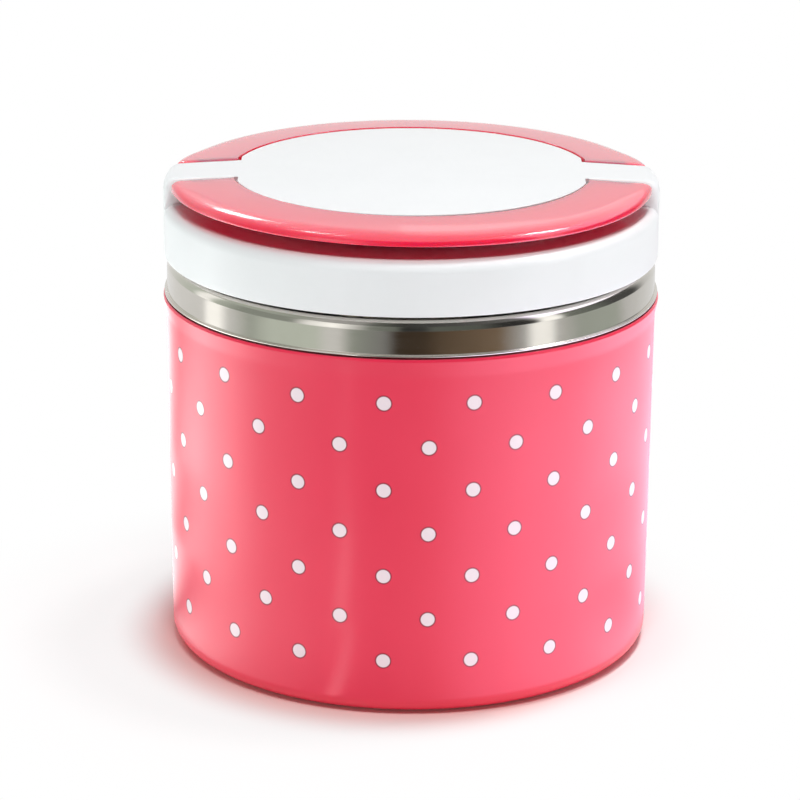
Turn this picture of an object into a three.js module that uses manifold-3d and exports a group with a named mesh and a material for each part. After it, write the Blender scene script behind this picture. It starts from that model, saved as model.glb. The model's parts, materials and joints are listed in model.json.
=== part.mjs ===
// Insulated lunch box: a steel bowl in a foam-lined plastic shell, closed by a twist-lock lid with two
// folding half-ring handles. Millimetres, +Z up, origin under the middle of the foot. The lid's crossbar
// runs along X and the front handle lies towards -Y.

import * as THREE from 'three';
import { mergeVertices } from 'three/addons/utils/BufferGeometryUtils.js';
import Module from 'manifold-3d';

const wasm = await Module();
wasm.setup();

// Facets
const RING_STEPS = 48;
const ROUND_STEPS = 2;
const LUG_STEPS = 4;
const PIN_STEPS = 16;
const MERGE_TOLERANCE = 1e-4;

// Clearances
const SEAT_GAP = 0.3;
const FOAM_GAP = 0.4;
const RUN_GAP = 0.2;

// Outer shell
const SHELL_RADIUS = 69.8;
const SHELL_HEIGHT = 103;
const SHELL_TAPER = 0.7;
const SHELL_WALL = 2.4;
const SHELL_FLOOR = 2.8;
const SHELL_CORNER = 5.2;
const LIP_FLARE = 0.8;
const LIP_HEIGHT = 5;
const LIP_ROUND = 0.5;
const FOOT_INNER_RADIUS = 54;
const FOOT_RECESS = 1.6;
const FOOT_SLOPE = 2;

// Steel band, neck and bowl
const STEEL = 0.6;
const BAND_INSET = 0.3;
const BAND_HEIGHT = 11.6;
const HEM_WIDTH = 0.8;
const HEM_GAP = 0.5;
const NECK_STEP = 3.9;
const SHOULDER_DROP = 0.3;
const RIM_WIDTH = 7.5;
const RIM_ROUND = 1.2;
const NECK_FLANGE_WIDTH = 5;
const BOWL_TAPER = 2.5;
const BOWL_CORNER = 12;
const BASE_FOAM = 16;

// Collar and its seal
const COLLAR_WALL = 3;
const COLLAR_DEPTH = 11;
const COLLAR_TOP_GAP = 0.8;
const SEAL_DROP = 5;
const SEAL_HEIGHT = 1.8;
const SEAL_WIDTH = 1;

// Twist lock
const LUG_COUNT = 4;
const LUG_SPAN_DEG = 24;
const LUG_HEIGHT = 2;
const LUG_CLEARANCE = 0.5;
const LUG_DROP = 3;
const LUG_ROOT = 0.3;
const STOP_SPAN_DEG = 4;
const STOP_GAP_DEG = 0.5;

// Lid cover
const LID_OVERHANG = 0.4;
const LID_WALL = 2.2;
const LID_FLOOR = 2.2;
const SKIRT_HEIGHT = 15.1;
const SKIRT_EDGE_ROUND = 0.4;
const LID_SHOULDER = 3.3;
const DISC_RISE = 8.1;
const DISC_WALL = 2.4;
const DISC_EDGE_ROUND = 0.4;
const BOSS_WALL = 6;
const BAR_WIDTH = 19.4;
const BAR_SLOPE = 0.9;
const BAR_END_ROUND = 3.8;

// Lid liner, gasket and foam
const GASKET_THICKNESS = 3.2;
const GASKET_EDGE_INSET = 1;
const GASKET_HOLD = 1.4;
const PLUG_CLEARANCE = 1.2;
const PLUG_DEPTH = 6.3;
const PLUG_CORNER = 2;
const LINER_WALL = 2;
const LINER_RIB_WALL = 1.6;
const LINER_RIB_DEPTH = 4.6;

// Handles and hinge pins
const HANDLE_LIFT = 4.2;
const HANDLE_THICKNESS = 4.1;
const HANDLE_SLOPE = 1.1;
const HANDLE_INSET = 1.8;
const HANDLE_WIDTH = 17;
const HANDLE_GAP = 0.6;
const HANDLE_EDGE_ROUND = 2.4;
const HANDLE_UNDER_ROUND = 0.5;
const HANDLE_END_INSET = 1.8;
const HINGE_SIDE_GAP = 1;
const PIN_RADIUS = 0.9;
const PIN_SEAT = 4.2;
const PIN_REACH = 11;

// Heights worked out from the foot up
const shellFloorTop = FOOT_RECESS + SHELL_FLOOR;
const baseFoamBottom = shellFloorTop + SEAT_GAP;
const baseFoamTop = baseFoamBottom + BASE_FOAM;
const bowlBottom = baseFoamTop + SEAT_GAP;
const lidEdge = SHELL_HEIGHT + BAND_HEIGHT;
const neckFoot = lidEdge - SHOULDER_DROP;
const shoulderStart = neckFoot - NECK_STEP;
const channelFloor = lidEdge + SKIRT_HEIGHT;
const lidUnderside = channelFloor - LID_FLOOR;
const gasketTop = lidUnderside - SEAT_GAP;
const gasketBottom = gasketTop - GASKET_THICKNESS;
const rimTop = gasketBottom - SEAT_GAP;
const neckTop = rimTop - STEEL - SEAT_GAP;
const discTop = channelFloor + DISC_RISE;
const handleUnderside = channelFloor + HANDLE_LIFT;
const handleTop = handleUnderside + HANDLE_THICKNESS;
const neckLugTop = rimTop - LUG_DROP;
const neckLugBottom = neckLugTop - LUG_HEIGHT;
const lidLugBottom = neckLugBottom - LUG_CLEARANCE - LUG_HEIGHT;

// Radii worked out from the shell inwards
const bandRadius = SHELL_RADIUS - BAND_INSET;
const neckRadius = bandRadius - NECK_STEP;
const bowlRadius = neckRadius - RIM_WIDTH;
const lidRadius = SHELL_RADIUS + LID_OVERHANG;
const skirtInner = lidRadius - LID_WALL;
const plugRadius = bowlRadius - PLUG_CLEARANCE;
const gasketInner = plugRadius - GASKET_HOLD;
const linerNeck = gasketInner - SEAT_GAP;
const linerInner = linerNeck - LINER_WALL;
const ribOuter = linerInner - SEAT_GAP;
const ribInner = ribOuter - LINER_RIB_WALL;
const handleOuter = lidRadius - HANDLE_INSET;
const handleInner = handleOuter - HANDLE_WIDTH;
const discRadius = handleInner - HANDLE_GAP;
const bossInner = discRadius - BOSS_WALL;

// The turn that brings the lid's lugs from the gaps to under the neck's lugs
const lugPitchDeg = 360 / LUG_COUNT;
const lockTurnDeg = lugPitchDeg / 2;

// Hinge axes: parallel to X, in the middle of the handle's half-round ends
const hingeY = BAR_WIDTH / 2 + SEAT_GAP + HANDLE_THICKNESS / 2;
const hingeZ = handleUnderside + HANDLE_THICKNESS / 2;
const boreRadius = PIN_RADIUS + RUN_GAP;
const handleEnd = handleInner - HANDLE_END_INSET;
const hingeFlat = handleEnd - HINGE_SIDE_GAP;
const pinInner = hingeFlat - PIN_SEAT;
const pinOuter = handleEnd + PIN_REACH;

// Half the length of the chord that lies at a distance from a circle's centre
function chordHalf(radius, distance) {
  return Math.sqrt(radius ** 2 - distance ** 2);
}

// The shell's outside radius at a height
function shellRadiusAt(z) {
  return SHELL_RADIUS - SHELL_TAPER * (1 - z / SHELL_HEIGHT);
}

// The shell's inside radius at a height
function shellInnerAt(z) {
  return shellRadiusAt(z) - SHELL_WALL;
}

// The bowl's inside radius at a height
function bowlRadiusAt(z) {
  return bowlRadius - BOWL_TAPER * (rimTop - z) / (rimTop - bowlBottom);
}

// A quarter round in a profile, anticlockwise from a start angle
function roundTo(path, x, z, radius, startDeg) {
  const start = THREE.MathUtils.degToRad(startDeg);
  return path.absarc(x, z, radius, start, start + Math.PI / 2, false);
}

// The same quarter round taken clockwise, for the inside of a wall
function hollowTo(path, x, z, radius, startDeg) {
  const start = THREE.MathUtils.degToRad(startDeg);
  return path.absarc(x, z, radius, start, start - Math.PI / 2, true);
}

// A body turned about Z from a profile of radius and height
function turned(path) {
  return new THREE.LatheGeometry(path.getPoints(ROUND_STEPS), RING_STEPS).rotateX(Math.PI / 2);
}

// A turned ring with a rectangular section
function turnedRing(inner, outer, bottom, top) {
  const path = new THREE.Path().moveTo(inner, bottom);
  path.lineTo(outer, bottom).lineTo(outer, top).lineTo(inner, top).closePath();
  return turned(path);
}

// A cylinder on a hinge axis, between two distances from the middle, to the left (-1) or right (1)
function hingeRod(radius, from, to, side, y) {
  const rod = new THREE.CylinderGeometry(radius, radius, to - from, PIN_STEPS).rotateZ(Math.PI / 2);
  return rod.translate((side * (from + to)) / 2, y, hingeZ);
}

// A block between two corners
function block(low, high) {
  const size = new THREE.Vector3().subVectors(high, low);
  const middle = new THREE.Vector3().addVectors(low, high).multiplyScalar(0.5);
  return new THREE.BoxGeometry(size.x, size.y, size.z).translate(middle.x, middle.y, middle.z);
}

// An arched block, part of a ring seen from above
function archedBlock(inner, outer, bottom, height, startDeg, spanDeg) {
  const start = THREE.MathUtils.degToRad(startDeg);
  const end = THREE.MathUtils.degToRad(startDeg + spanDeg);
  const shape = new THREE.Shape();
  shape.absarc(0, 0, outer, start, end, false);
  shape.absarc(0, 0, inner, end, start, true);
  const options = { depth: height, bevelEnabled: false, curveSegments: LUG_STEPS };
  return new THREE.ExtrudeGeometry(shape, options).translate(0, 0, bottom);
}

// A closed geometry as a solid that can be joined and cut
function solid(geometry) {
  const bare = geometry.clone();
  bare.deleteAttribute('normal');
  bare.deleteAttribute('uv');
  const merged = mergeVertices(bare, MERGE_TOLERANCE);
  const vertProperties = new Float32Array(merged.attributes.position.array);
  const triVerts = new Uint32Array(merged.index.array);
  return new wasm.Manifold(new wasm.Mesh({ numProp: 3, vertProperties, triVerts }));
}

// A solid as a geometry for a mesh
function geometryOf(body) {
  const { vertProperties, triVerts } = body.getMesh();
  const geometry = new THREE.BufferGeometry();
  geometry.setAttribute('position', new THREE.BufferAttribute(new Float32Array(vertProperties), 3));
  geometry.setIndex(new THREE.BufferAttribute(new Uint32Array(triVerts), 1));
  geometry.computeVertexNormals();
  return geometry;
}

// Tapered cup on a ring foot, with a lip that flares out a little
function outerShell() {
  const foot = shellRadiusAt(SHELL_CORNER);
  const lipFoot = SHELL_HEIGHT - LIP_HEIGHT;
  const lipEdge = SHELL_HEIGHT - LIP_ROUND;
  const lipRadius = SHELL_RADIUS + LIP_FLARE;
  const innerCorner = SHELL_CORNER - SHELL_WALL;
  const innerFoot = shellInnerAt(shellFloorTop + innerCorner);
  const path = new THREE.Path().moveTo(0, FOOT_RECESS);
  path.lineTo(FOOT_INNER_RADIUS - FOOT_SLOPE, FOOT_RECESS).lineTo(FOOT_INNER_RADIUS, 0);
  path.lineTo(foot - SHELL_CORNER, 0);
  roundTo(path, foot - SHELL_CORNER, SHELL_CORNER, SHELL_CORNER, -90);
  path.lineTo(shellRadiusAt(lipFoot), lipFoot);
  path.quadraticCurveTo(SHELL_RADIUS, (lipFoot + lipEdge) / 2, lipRadius, lipEdge);
  roundTo(path, lipRadius - LIP_ROUND, lipEdge, LIP_ROUND, 0);
  path.lineTo(shellInnerAt(SHELL_HEIGHT), SHELL_HEIGHT);
  path.lineTo(innerFoot, shellFloorTop + innerCorner);
  hollowTo(path, innerFoot - innerCorner, shellFloorTop + innerCorner, innerCorner, 0);
  path.lineTo(0, shellFloorTop);
  return turned(path);
}

// Foam disc under the bowl
function insulationBase() {
  const chamfer = SHELL_CORNER - SHELL_WALL;
  const radius = shellInnerAt(baseFoamBottom + chamfer) - FOAM_GAP;
  const path = new THREE.Path().moveTo(0, baseFoamBottom);
  path.lineTo(radius - chamfer, baseFoamBottom).lineTo(radius, baseFoamBottom + chamfer);
  path.lineTo(radius, baseFoamTop).lineTo(0, baseFoamTop);
  return turned(path);
}

// Foam between bowl and shell, stepped in where it passes the collar
function insulationSleeve() {
  const step = SHELL_HEIGHT - COLLAR_DEPTH - FOAM_GAP;
  const top = neckTop - STEEL - SEAT_GAP;
  const upper = shellInnerAt(SHELL_HEIGHT) - SEAT_GAP - COLLAR_WALL - FOAM_GAP;
  const path = new THREE.Path().moveTo(bowlRadiusAt(bowlBottom) + STEEL + FOAM_GAP, bowlBottom);
  path.lineTo(shellInnerAt(bowlBottom) - FOAM_GAP, bowlBottom);
  path.lineTo(shellInnerAt(step) - FOAM_GAP, step).lineTo(upper, step).lineTo(upper, top);
  path.lineTo(bowlRadiusAt(top) + STEEL + FOAM_GAP, top).closePath();
  return turned(path);
}

// Drawn bowl with a flange that lies on the neck
function innerBowl() {
  const outerCorner = BOWL_CORNER + STEEL;
  const cornerTop = bowlBottom + outerCorner;
  const wallFoot = bowlRadiusAt(cornerTop);
  const flange = neckRadius - SEAT_GAP;
  const underFlange = rimTop - STEEL;
  const path = new THREE.Path().moveTo(0, bowlBottom);
  path.lineTo(wallFoot - BOWL_CORNER, bowlBottom);
  roundTo(path, wallFoot - BOWL_CORNER, cornerTop, outerCorner, -90);
  path.lineTo(bowlRadiusAt(underFlange) + STEEL, underFlange - RIM_ROUND);
  path.lineTo(bowlRadius + RIM_ROUND, underFlange).lineTo(flange, underFlange).lineTo(flange, rimTop);
  path.lineTo(bowlRadius + RIM_ROUND, rimTop).lineTo(bowlRadius, rimTop - RIM_ROUND);
  path.lineTo(wallFoot, cornerTop);
  hollowTo(path, wallFoot - BOWL_CORNER, cornerTop, BOWL_CORNER, 0);
  path.lineTo(0, bowlBottom + STEEL);
  return turned(path);
}

// Visible steel band with a turned-out hem over the shell's lip, then rounded shoulder and neck, with the
// lugs that the lid turns under
function neckBand() {
  const foot = SHELL_HEIGHT + HEM_GAP;
  const underNeckTop = neckTop - STEEL;
  const path = new THREE.Path().moveTo(bandRadius - STEEL, foot);
  path.lineTo(bandRadius + HEM_WIDTH, foot).lineTo(bandRadius + HEM_WIDTH, foot + STEEL);
  path.lineTo(bandRadius, foot + STEEL).lineTo(bandRadius, shoulderStart);
  roundTo(path, neckRadius, shoulderStart, NECK_STEP, 0);
  path.lineTo(neckRadius, neckTop).lineTo(neckRadius - NECK_FLANGE_WIDTH, neckTop);
  path.lineTo(neckRadius - NECK_FLANGE_WIDTH, underNeckTop).lineTo(neckRadius - STEEL, underNeckTop);
  path.lineTo(neckRadius - STEEL, neckFoot - STEEL).lineTo(neckRadius, neckFoot - STEEL);
  hollowTo(path, neckRadius, shoulderStart, NECK_STEP - STEEL, 90);
  path.closePath();
  let body = solid(turned(path));
  const root = neckRadius - LUG_ROOT;
  const tip = skirtInner - LUG_CLEARANCE;
  const lugSpan = LUG_SPAN_DEG + STOP_GAP_DEG;
  const stopHeight = neckLugTop - lidLugBottom;
  for (let i = 0; i < LUG_COUNT; i += 1) {
    const start = lugPitchDeg * i - LUG_SPAN_DEG / 2 - STOP_GAP_DEG;
    const lug = archedBlock(root, tip, neckLugBottom, LUG_HEIGHT, start, lugSpan);
    const stop = archedBlock(root, tip, lidLugBottom, stopHeight, start - STOP_SPAN_DEG, STOP_SPAN_DEG);
    body = body.add(solid(lug)).add(solid(stop));
  }
  return geometryOf(body);
}

// Plastic ring in the mouth of the shell that carries the steel band, with a groove for the seal
function neckCollar() {
  const spigot = shellInnerAt(SHELL_HEIGHT - COLLAR_DEPTH) - SEAT_GAP;
  const inner = shellInnerAt(SHELL_HEIGHT) - SEAT_GAP - COLLAR_WALL;
  const ledge = SHELL_HEIGHT + SEAT_GAP;
  const head = bandRadius - STEEL - SEAT_GAP;
  const top = shoulderStart - COLLAR_TOP_GAP;
  const groove = spigot - SEAL_WIDTH - SEAT_GAP;
  const grooveTop = SHELL_HEIGHT - SEAL_DROP + SEAT_GAP;
  const grooveBottom = SHELL_HEIGHT - SEAL_DROP - SEAL_HEIGHT - SEAT_GAP;
  const path = new THREE.Path().moveTo(inner, SHELL_HEIGHT - COLLAR_DEPTH);
  path.lineTo(spigot, SHELL_HEIGHT - COLLAR_DEPTH).lineTo(spigot, grooveBottom);
  path.lineTo(groove, grooveBottom).lineTo(groove, grooveTop).lineTo(spigot, grooveTop);
  path.lineTo(spigot, ledge).lineTo(head, ledge).lineTo(head, top).lineTo(inner, top).closePath();
  return turned(path);
}

// Rubber ring in the collar's groove
function shellSeal() {
  const spigot = shellInnerAt(SHELL_HEIGHT - COLLAR_DEPTH) - SEAT_GAP;
  const top = SHELL_HEIGHT - SEAL_DROP;
  return turnedRing(spigot - SEAL_WIDTH, spigot, top - SEAL_HEIGHT, top);
}

// The lid without crossbar: skirt, shoulder, ring channel, top disc and the rib that carries the liner
function lidTurning() {
  const discFlat = discRadius - DISC_EDGE_ROUND;
  const ribFoot = lidUnderside - LINER_RIB_DEPTH;
  const path = new THREE.Path().moveTo(0, discTop - DISC_WALL);
  path.lineTo(bossInner, discTop - DISC_WALL).lineTo(bossInner, lidUnderside);
  path.lineTo(ribInner, lidUnderside).lineTo(ribInner, ribFoot);
  path.lineTo(ribOuter, ribFoot).lineTo(ribOuter, lidUnderside);
  path.lineTo(skirtInner, lidUnderside).lineTo(skirtInner, lidEdge);
  path.lineTo(lidRadius - SKIRT_EDGE_ROUND, lidEdge);
  roundTo(path, lidRadius - SKIRT_EDGE_ROUND, lidEdge + SKIRT_EDGE_ROUND, SKIRT_EDGE_ROUND, -90);
  path.lineTo(lidRadius, channelFloor - LID_SHOULDER);
  roundTo(path, lidRadius - LID_SHOULDER, channelFloor - LID_SHOULDER, LID_SHOULDER, 0);
  path.lineTo(discRadius, channelFloor).lineTo(discRadius, discTop - DISC_EDGE_ROUND);
  roundTo(path, discFlat, discTop - DISC_EDGE_ROUND, DISC_EDGE_ROUND, 0);
  path.lineTo(0, discTop);
  return solid(turned(path));
}

// Crossbar over the ring channel: a turned filling of the channel, cut to the bar's width
function crossbar() {
  const root = discRadius - BOSS_WALL / 2;
  const bottom = channelFloor - LID_FLOOR / 2;
  const shoulderFoot = channelFloor - LID_SHOULDER;
  const endTop = discTop - BAR_SLOPE;
  const endRound = lidRadius - BAR_END_ROUND;
  const path = new THREE.Path().moveTo(root, bottom);
  path.lineTo(skirtInner, bottom).lineTo(skirtInner + LID_WALL / 2, shoulderFoot);
  path.lineTo(lidRadius, shoulderFoot).lineTo(lidRadius, endTop - BAR_END_ROUND);
  roundTo(path, endRound, endTop - BAR_END_ROUND, BAR_END_ROUND, 0);
  path.lineTo(discRadius, discTop).lineTo(root, discTop).closePath();
  const low = new THREE.Vector3(-lidRadius, -BAR_WIDTH / 2, lidEdge);
  const high = new THREE.Vector3(lidRadius, BAR_WIDTH / 2, discTop + LID_FLOOR);
  return solid(turned(path)).intersect(solid(block(low, high)));
}

// Cutter for the flat at the disc's side where a handle's end swings past it
function flatCut(x, y) {
  const near = new THREE.Vector3(x * hingeFlat, (y * BAR_WIDTH) / 2, channelFloor);
  const far = new THREE.Vector3(x * handleInner, y * (hingeY + HANDLE_THICKNESS), discTop + LID_FLOOR);
  return block(near.clone().min(far), near.clone().max(far));
}

// White lid with crossbar, twist-lock lugs and the flats and blind holes for the handles' hinges
function lidCover() {
  let body = lidTurning().add(crossbar());
  const tip = neckRadius + LUG_CLEARANCE;
  for (let i = 0; i < LUG_COUNT; i += 1) {
    const start = lugPitchDeg * i + lockTurnDeg - LUG_SPAN_DEG / 2;
    const lug = archedBlock(tip, skirtInner + LUG_ROOT, lidLugBottom, LUG_HEIGHT, start, LUG_SPAN_DEG);
    body = body.add(solid(lug));
  }
  for (const { x, y } of hingePlaces()) {
    const bore = hingeRod(boreRadius, pinInner - SEAT_GAP, handleInner, x, y * hingeY);
    body = body.subtract(solid(flatCut(x, y))).subtract(solid(bore));
  }
  return geometryOf(body);
}

// Cup-shaped plug under the lid: its flange holds the gasket up against the cover
function lidLiner() {
  const bottom = rimTop - PLUG_DEPTH;
  const path = new THREE.Path().moveTo(0, bottom);
  path.lineTo(plugRadius - PLUG_CORNER, bottom);
  roundTo(path, plugRadius - PLUG_CORNER, bottom + PLUG_CORNER, PLUG_CORNER, -90);
  path.lineTo(plugRadius, rimTop).lineTo(linerNeck, rimTop).lineTo(linerNeck, gasketTop);
  path.lineTo(linerInner, gasketTop).lineTo(linerInner, bottom + LINER_WALL);
  path.lineTo(0, bottom + LINER_WALL);
  return turned(path);
}

// Foam in the lid, stepped in where it fills the disc
function lidInsulation() {
  const bottom = rimTop - PLUG_DEPTH + LINER_WALL + SEAT_GAP;
  const lower = ribInner - FOAM_GAP;
  const upper = Math.min(bossInner - FOAM_GAP, lower);
  const path = new THREE.Path().moveTo(0, bottom);
  path.lineTo(lower, bottom).lineTo(lower, gasketTop).lineTo(upper, gasketTop);
  path.lineTo(upper, discTop - DISC_WALL - SEAT_GAP).lineTo(0, discTop - DISC_WALL - SEAT_GAP);
  return turned(path);
}

// Flat silicone ring over the bowl's rim
function lidGasket() {
  return turnedRing(gasketInner, neckRadius - GASKET_EDGE_INSET, gasketBottom, gasketTop);
}

// Ring from which a handle is cut: sloping top, rounded outer edge, flat underside
function handleRing() {
  const topEdge = handleOuter - HANDLE_EDGE_ROUND;
  const outerTop = handleTop - HANDLE_SLOPE;
  const path = new THREE.Path().moveTo(handleInner, handleUnderside);
  path.lineTo(handleOuter - HANDLE_UNDER_ROUND, handleUnderside);
  path.lineTo(handleOuter, handleUnderside + HANDLE_UNDER_ROUND);
  roundTo(path, topEdge, outerTop - HANDLE_EDGE_ROUND, HANDLE_EDGE_ROUND, 0);
  path.lineTo(handleInner, handleTop).closePath();
  return solid(turned(path));
}

// Square inner corner at a handle's left (-1) or right (1) end
function handleCorner(x) {
  const near = new THREE.Vector3(x * handleEnd, -chordHalf(handleInner, handleEnd), handleUnderside);
  const far = new THREE.Vector3(x * chordHalf(handleInner, BAR_WIDTH / 2), 0, handleTop);
  return block(near.clone().min(far), near.clone().max(far));
}

// Front handle: half a ring whose ends are half-round about the hinge axis and bored for the pins
function handle() {
  const reach = lidRadius + HANDLE_THICKNESS;
  const low = new THREE.Vector3(-reach, -hingeY, handleUnderside - HANDLE_THICKNESS);
  const high = new THREE.Vector3(reach, reach, handleTop + HANDLE_THICKNESS);
  const endRound = solid(hingeRod(HANDLE_THICKNESS / 2, -reach, reach, 1, -hingeY));
  let body = handleRing().add(solid(handleCorner(-1))).add(solid(handleCorner(1)));
  body = body.subtract(solid(block(low, high)).subtract(endRound));
  for (const x of [-1, 1]) {
    const bore = hingeRod(boreRadius, hingeFlat, pinOuter + SEAT_GAP, x, -hingeY);
    body = body.subtract(solid(bore));
  }
  return geometryOf(body);
}

// The four hinges by name, with the sides on which they lie
function hingePlaces() {
  return [
    { name: 'front_left', x: -1, y: -1 },
    { name: 'front_right', x: 1, y: -1 },
    { name: 'back_left', x: -1, y: 1 },
    { name: 'back_right', x: 1, y: 1 },
  ];
}

// Materials
const pinkPlastic = new THREE.MeshStandardMaterial({ color: 0xe35c70, roughness: 0.35, metalness: 0 });
const coralPlastic = new THREE.MeshStandardMaterial({ color: 0xf0566c, roughness: 0.25, metalness: 0 });
const whitePlastic = new THREE.MeshStandardMaterial({ color: 0xf3f3f2, roughness: 0.3, metalness: 0 });
const collarPlastic = new THREE.MeshStandardMaterial({ color: 0xd8d6d2, roughness: 0.6, metalness: 0 });
const steel = new THREE.MeshStandardMaterial({ color: 0xb9b7b2, roughness: 0.25, metalness: 1 });
const silicone = new THREE.MeshStandardMaterial({ color: 0xe6e4df, roughness: 0.7, metalness: 0 });
const foam = new THREE.MeshStandardMaterial({ color: 0xefe9d8, roughness: 0.95, metalness: 0 });

// A named piece in a group
function addPiece(group, name, geometry, material) {
  const piece = new THREE.Mesh(geometry, material);
  piece.name = name;
  group.add(piece);
  return piece;
}

const lunchBox = new THREE.Group();

const body = new THREE.Group();
addPiece(body, 'outer_shell', outerShell(), pinkPlastic);
addPiece(body, 'insulation_base', insulationBase(), foam);
addPiece(body, 'insulation_sleeve', insulationSleeve(), foam);
addPiece(body, 'inner_bowl', innerBowl(), steel);
addPiece(body, 'neck_collar', neckCollar(), collarPlastic);
addPiece(body, 'shell_seal', shellSeal(), silicone);
addPiece(body, 'neck_band', neckBand(), steel);
lunchBox.add(body);

const lid = new THREE.Group();
addPiece(lid, 'lid_cover', lidCover(), whitePlastic);
addPiece(lid, 'lid_liner', lidLiner(), whitePlastic);
addPiece(lid, 'lid_insulation', lidInsulation(), foam);
addPiece(lid, 'lid_gasket', lidGasket(), silicone);
for (const { name, x, y } of hingePlaces()) {
  const pin = hingeRod(PIN_RADIUS, pinInner, pinOuter, x, y * hingeY);
  addPiece(lid, `hinge_pin_${name}`, pin, steel);
}
lunchBox.add(lid);

const handles = new THREE.Group();
const handleGeometry = handle();
addPiece(handles, 'front_handle', handleGeometry, coralPlastic);
addPiece(handles, 'back_handle', handleGeometry, coralPlastic).rotation.z = Math.PI;
lunchBox.add(handles);

export default lunchBox;
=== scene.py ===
"""Looks of a round insulated lunch box: a pink dotted shell, a bright steel neck and a white twist-lock lid
with two folding handles. Metres, +Z up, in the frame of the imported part."""

import json
import logging
import math
from dataclasses import dataclass, field
from enum import Enum
from typing import Any, Sequence

import bpy
from mathutils import Matrix, Vector


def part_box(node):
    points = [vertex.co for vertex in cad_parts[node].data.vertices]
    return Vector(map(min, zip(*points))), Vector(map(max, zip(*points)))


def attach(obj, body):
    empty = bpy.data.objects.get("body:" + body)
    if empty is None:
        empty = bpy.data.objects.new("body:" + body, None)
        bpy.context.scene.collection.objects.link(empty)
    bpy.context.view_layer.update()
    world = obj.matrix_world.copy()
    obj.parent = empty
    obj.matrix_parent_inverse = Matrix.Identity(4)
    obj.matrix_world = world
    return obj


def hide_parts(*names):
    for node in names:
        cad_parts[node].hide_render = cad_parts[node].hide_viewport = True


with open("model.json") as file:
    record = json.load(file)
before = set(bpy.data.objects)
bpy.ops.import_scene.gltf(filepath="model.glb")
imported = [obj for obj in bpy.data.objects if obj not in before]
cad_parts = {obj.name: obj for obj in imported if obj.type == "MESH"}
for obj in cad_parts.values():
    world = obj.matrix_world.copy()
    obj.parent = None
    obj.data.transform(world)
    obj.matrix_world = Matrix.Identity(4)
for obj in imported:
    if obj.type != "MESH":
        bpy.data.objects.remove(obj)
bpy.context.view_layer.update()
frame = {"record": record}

log = logging.getLogger("lunch_box")

MM = 0.001
RING_STEPS = 240
ARC_STEP = math.radians(9)
SHARP_ANGLE = math.radians(38)
ROD_STEPS = 48
LUG_ROUND = 0.2 * MM
TINY = 1e-7
CLOUDS_FROM = 0.3
CLOUDS_TO = 0.7
Colour = tuple[float, float, float]
Knots = tuple[tuple[float, float], ...]
WHITE: Colour = (1.0, 1.0, 1.0)
BLACK: Colour = (0.0, 0.0, 0.0)


class Joining(Enum):
    """How one solid changes another."""

    ADD = "UNION"
    CUT = "DIFFERENCE"


class Side(Enum):
    """The two ends of the crossbar and of each handle."""

    LEFT = -1
    RIGHT = 1


class Facing(Enum):
    """The two handles, by the way along Y in which they lie from the crossbar."""

    FRONT = -1
    BACK = 1


def srgb(red: int, green: int, blue: int) -> Colour:
    """Turn a display colour into the linear one that shaders take.

    Args:
        red: red from 0 to 255.
        green: green from 0 to 255.
        blue: blue from 0 to 255.

    Returns:
        The linear colour.
    """
    def linear(value: int) -> float:
        """One channel, linear."""
        share = value / 255
        return share / 12.92 if share <= 0.04045 else ((share + 0.055) / 1.055) ** 2.4

    return linear(red), linear(green), linear(blue)


@dataclass(frozen=True)
class Corner:
    """A corner of a turned section: radius, height and the round on it, in millimetres."""

    r: float
    z: float
    fillet: float = 0.0

    @property
    def point(self) -> Vector:
        """The corner itself, in metres."""
        return Vector((self.r * MM, self.z * MM))


def rounded(corners: Sequence[Corner], closed: bool) -> list[Vector]:
    """Draw a section with its corners rounded.

    Args:
        corners: corners in order.
        closed: whether the last corner joins the first.

    Returns:
        Points of radius and height in metres.
    """
    points: list[Vector] = []
    count = len(corners)
    for i, corner in enumerate(corners):
        is_end = not closed and i in (0, count - 1)
        if is_end or corner.fillet == 0:
            points.append(corner.point)
            continue
        before = corners[i - 1].point
        after = corners[(i + 1) % count].point
        points.extend(fillet_arc(before, corner.point, after, corner.fillet * MM))
    return points


def fillet_arc(before: Vector, corner: Vector, after: Vector, radius: float) -> list[Vector]:
    """Round one corner with an arc.

    Args:
        before: the point ahead of the corner.
        corner: the corner.
        after: the point behind the corner.
        radius: the arc's radius in metres.

    Returns:
        The arc's points.
    """
    back = (before - corner).normalized()
    on = (after - corner).normalized()
    between = back.angle(on)
    reach = radius / math.tan(between / 2)
    middle = corner + (back + on).normalized() * (radius / math.sin(between / 2))
    start = corner + back * reach - middle
    sweep = math.pi - between
    turn = math.copysign(1, start.y * back.x - start.x * back.y)
    steps = max(2, math.ceil(sweep / ARC_STEP))
    arc = []
    for k in range(steps + 1):
        angle = turn * sweep * k / steps
        x = start.x * math.cos(angle) - start.y * math.sin(angle)
        y = start.x * math.sin(angle) + start.y * math.cos(angle)
        arc.append(middle + Vector((x, y)))
    return arc


def mesh_object(name: str, vertices: Sequence[Vector], faces: Sequence[Sequence[int]]) -> bpy.types.Object:
    """Make a mesh object with all its faces pointing out.

    Args:
        name: the object's name.
        vertices: points in metres.
        faces: rows of vertex numbers.

    Returns:
        The object, linked to the scene.
    """
    mesh = bpy.data.meshes.new(name)
    mesh.from_pydata(vertices, [], faces)
    mesh.validate()
    obj = bpy.data.objects.new(name, mesh)
    bpy.context.scene.collection.objects.link(obj)
    if signed_volume(mesh) < 0:
        mesh.flip_normals()
    return obj


def signed_volume(mesh: bpy.types.Mesh) -> float:
    """Six times the volume that a mesh closes in, below 0 where its faces point in.

    Args:
        mesh: the mesh.

    Returns:
        The number in cubic metres.
    """
    mesh.calc_loop_triangles()
    total = 0.0
    for triangle in mesh.loop_triangles:
        one, two, three = (mesh.vertices[i].co for i in triangle.vertices)
        total += one.dot(two.cross(three))
    return total


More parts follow.
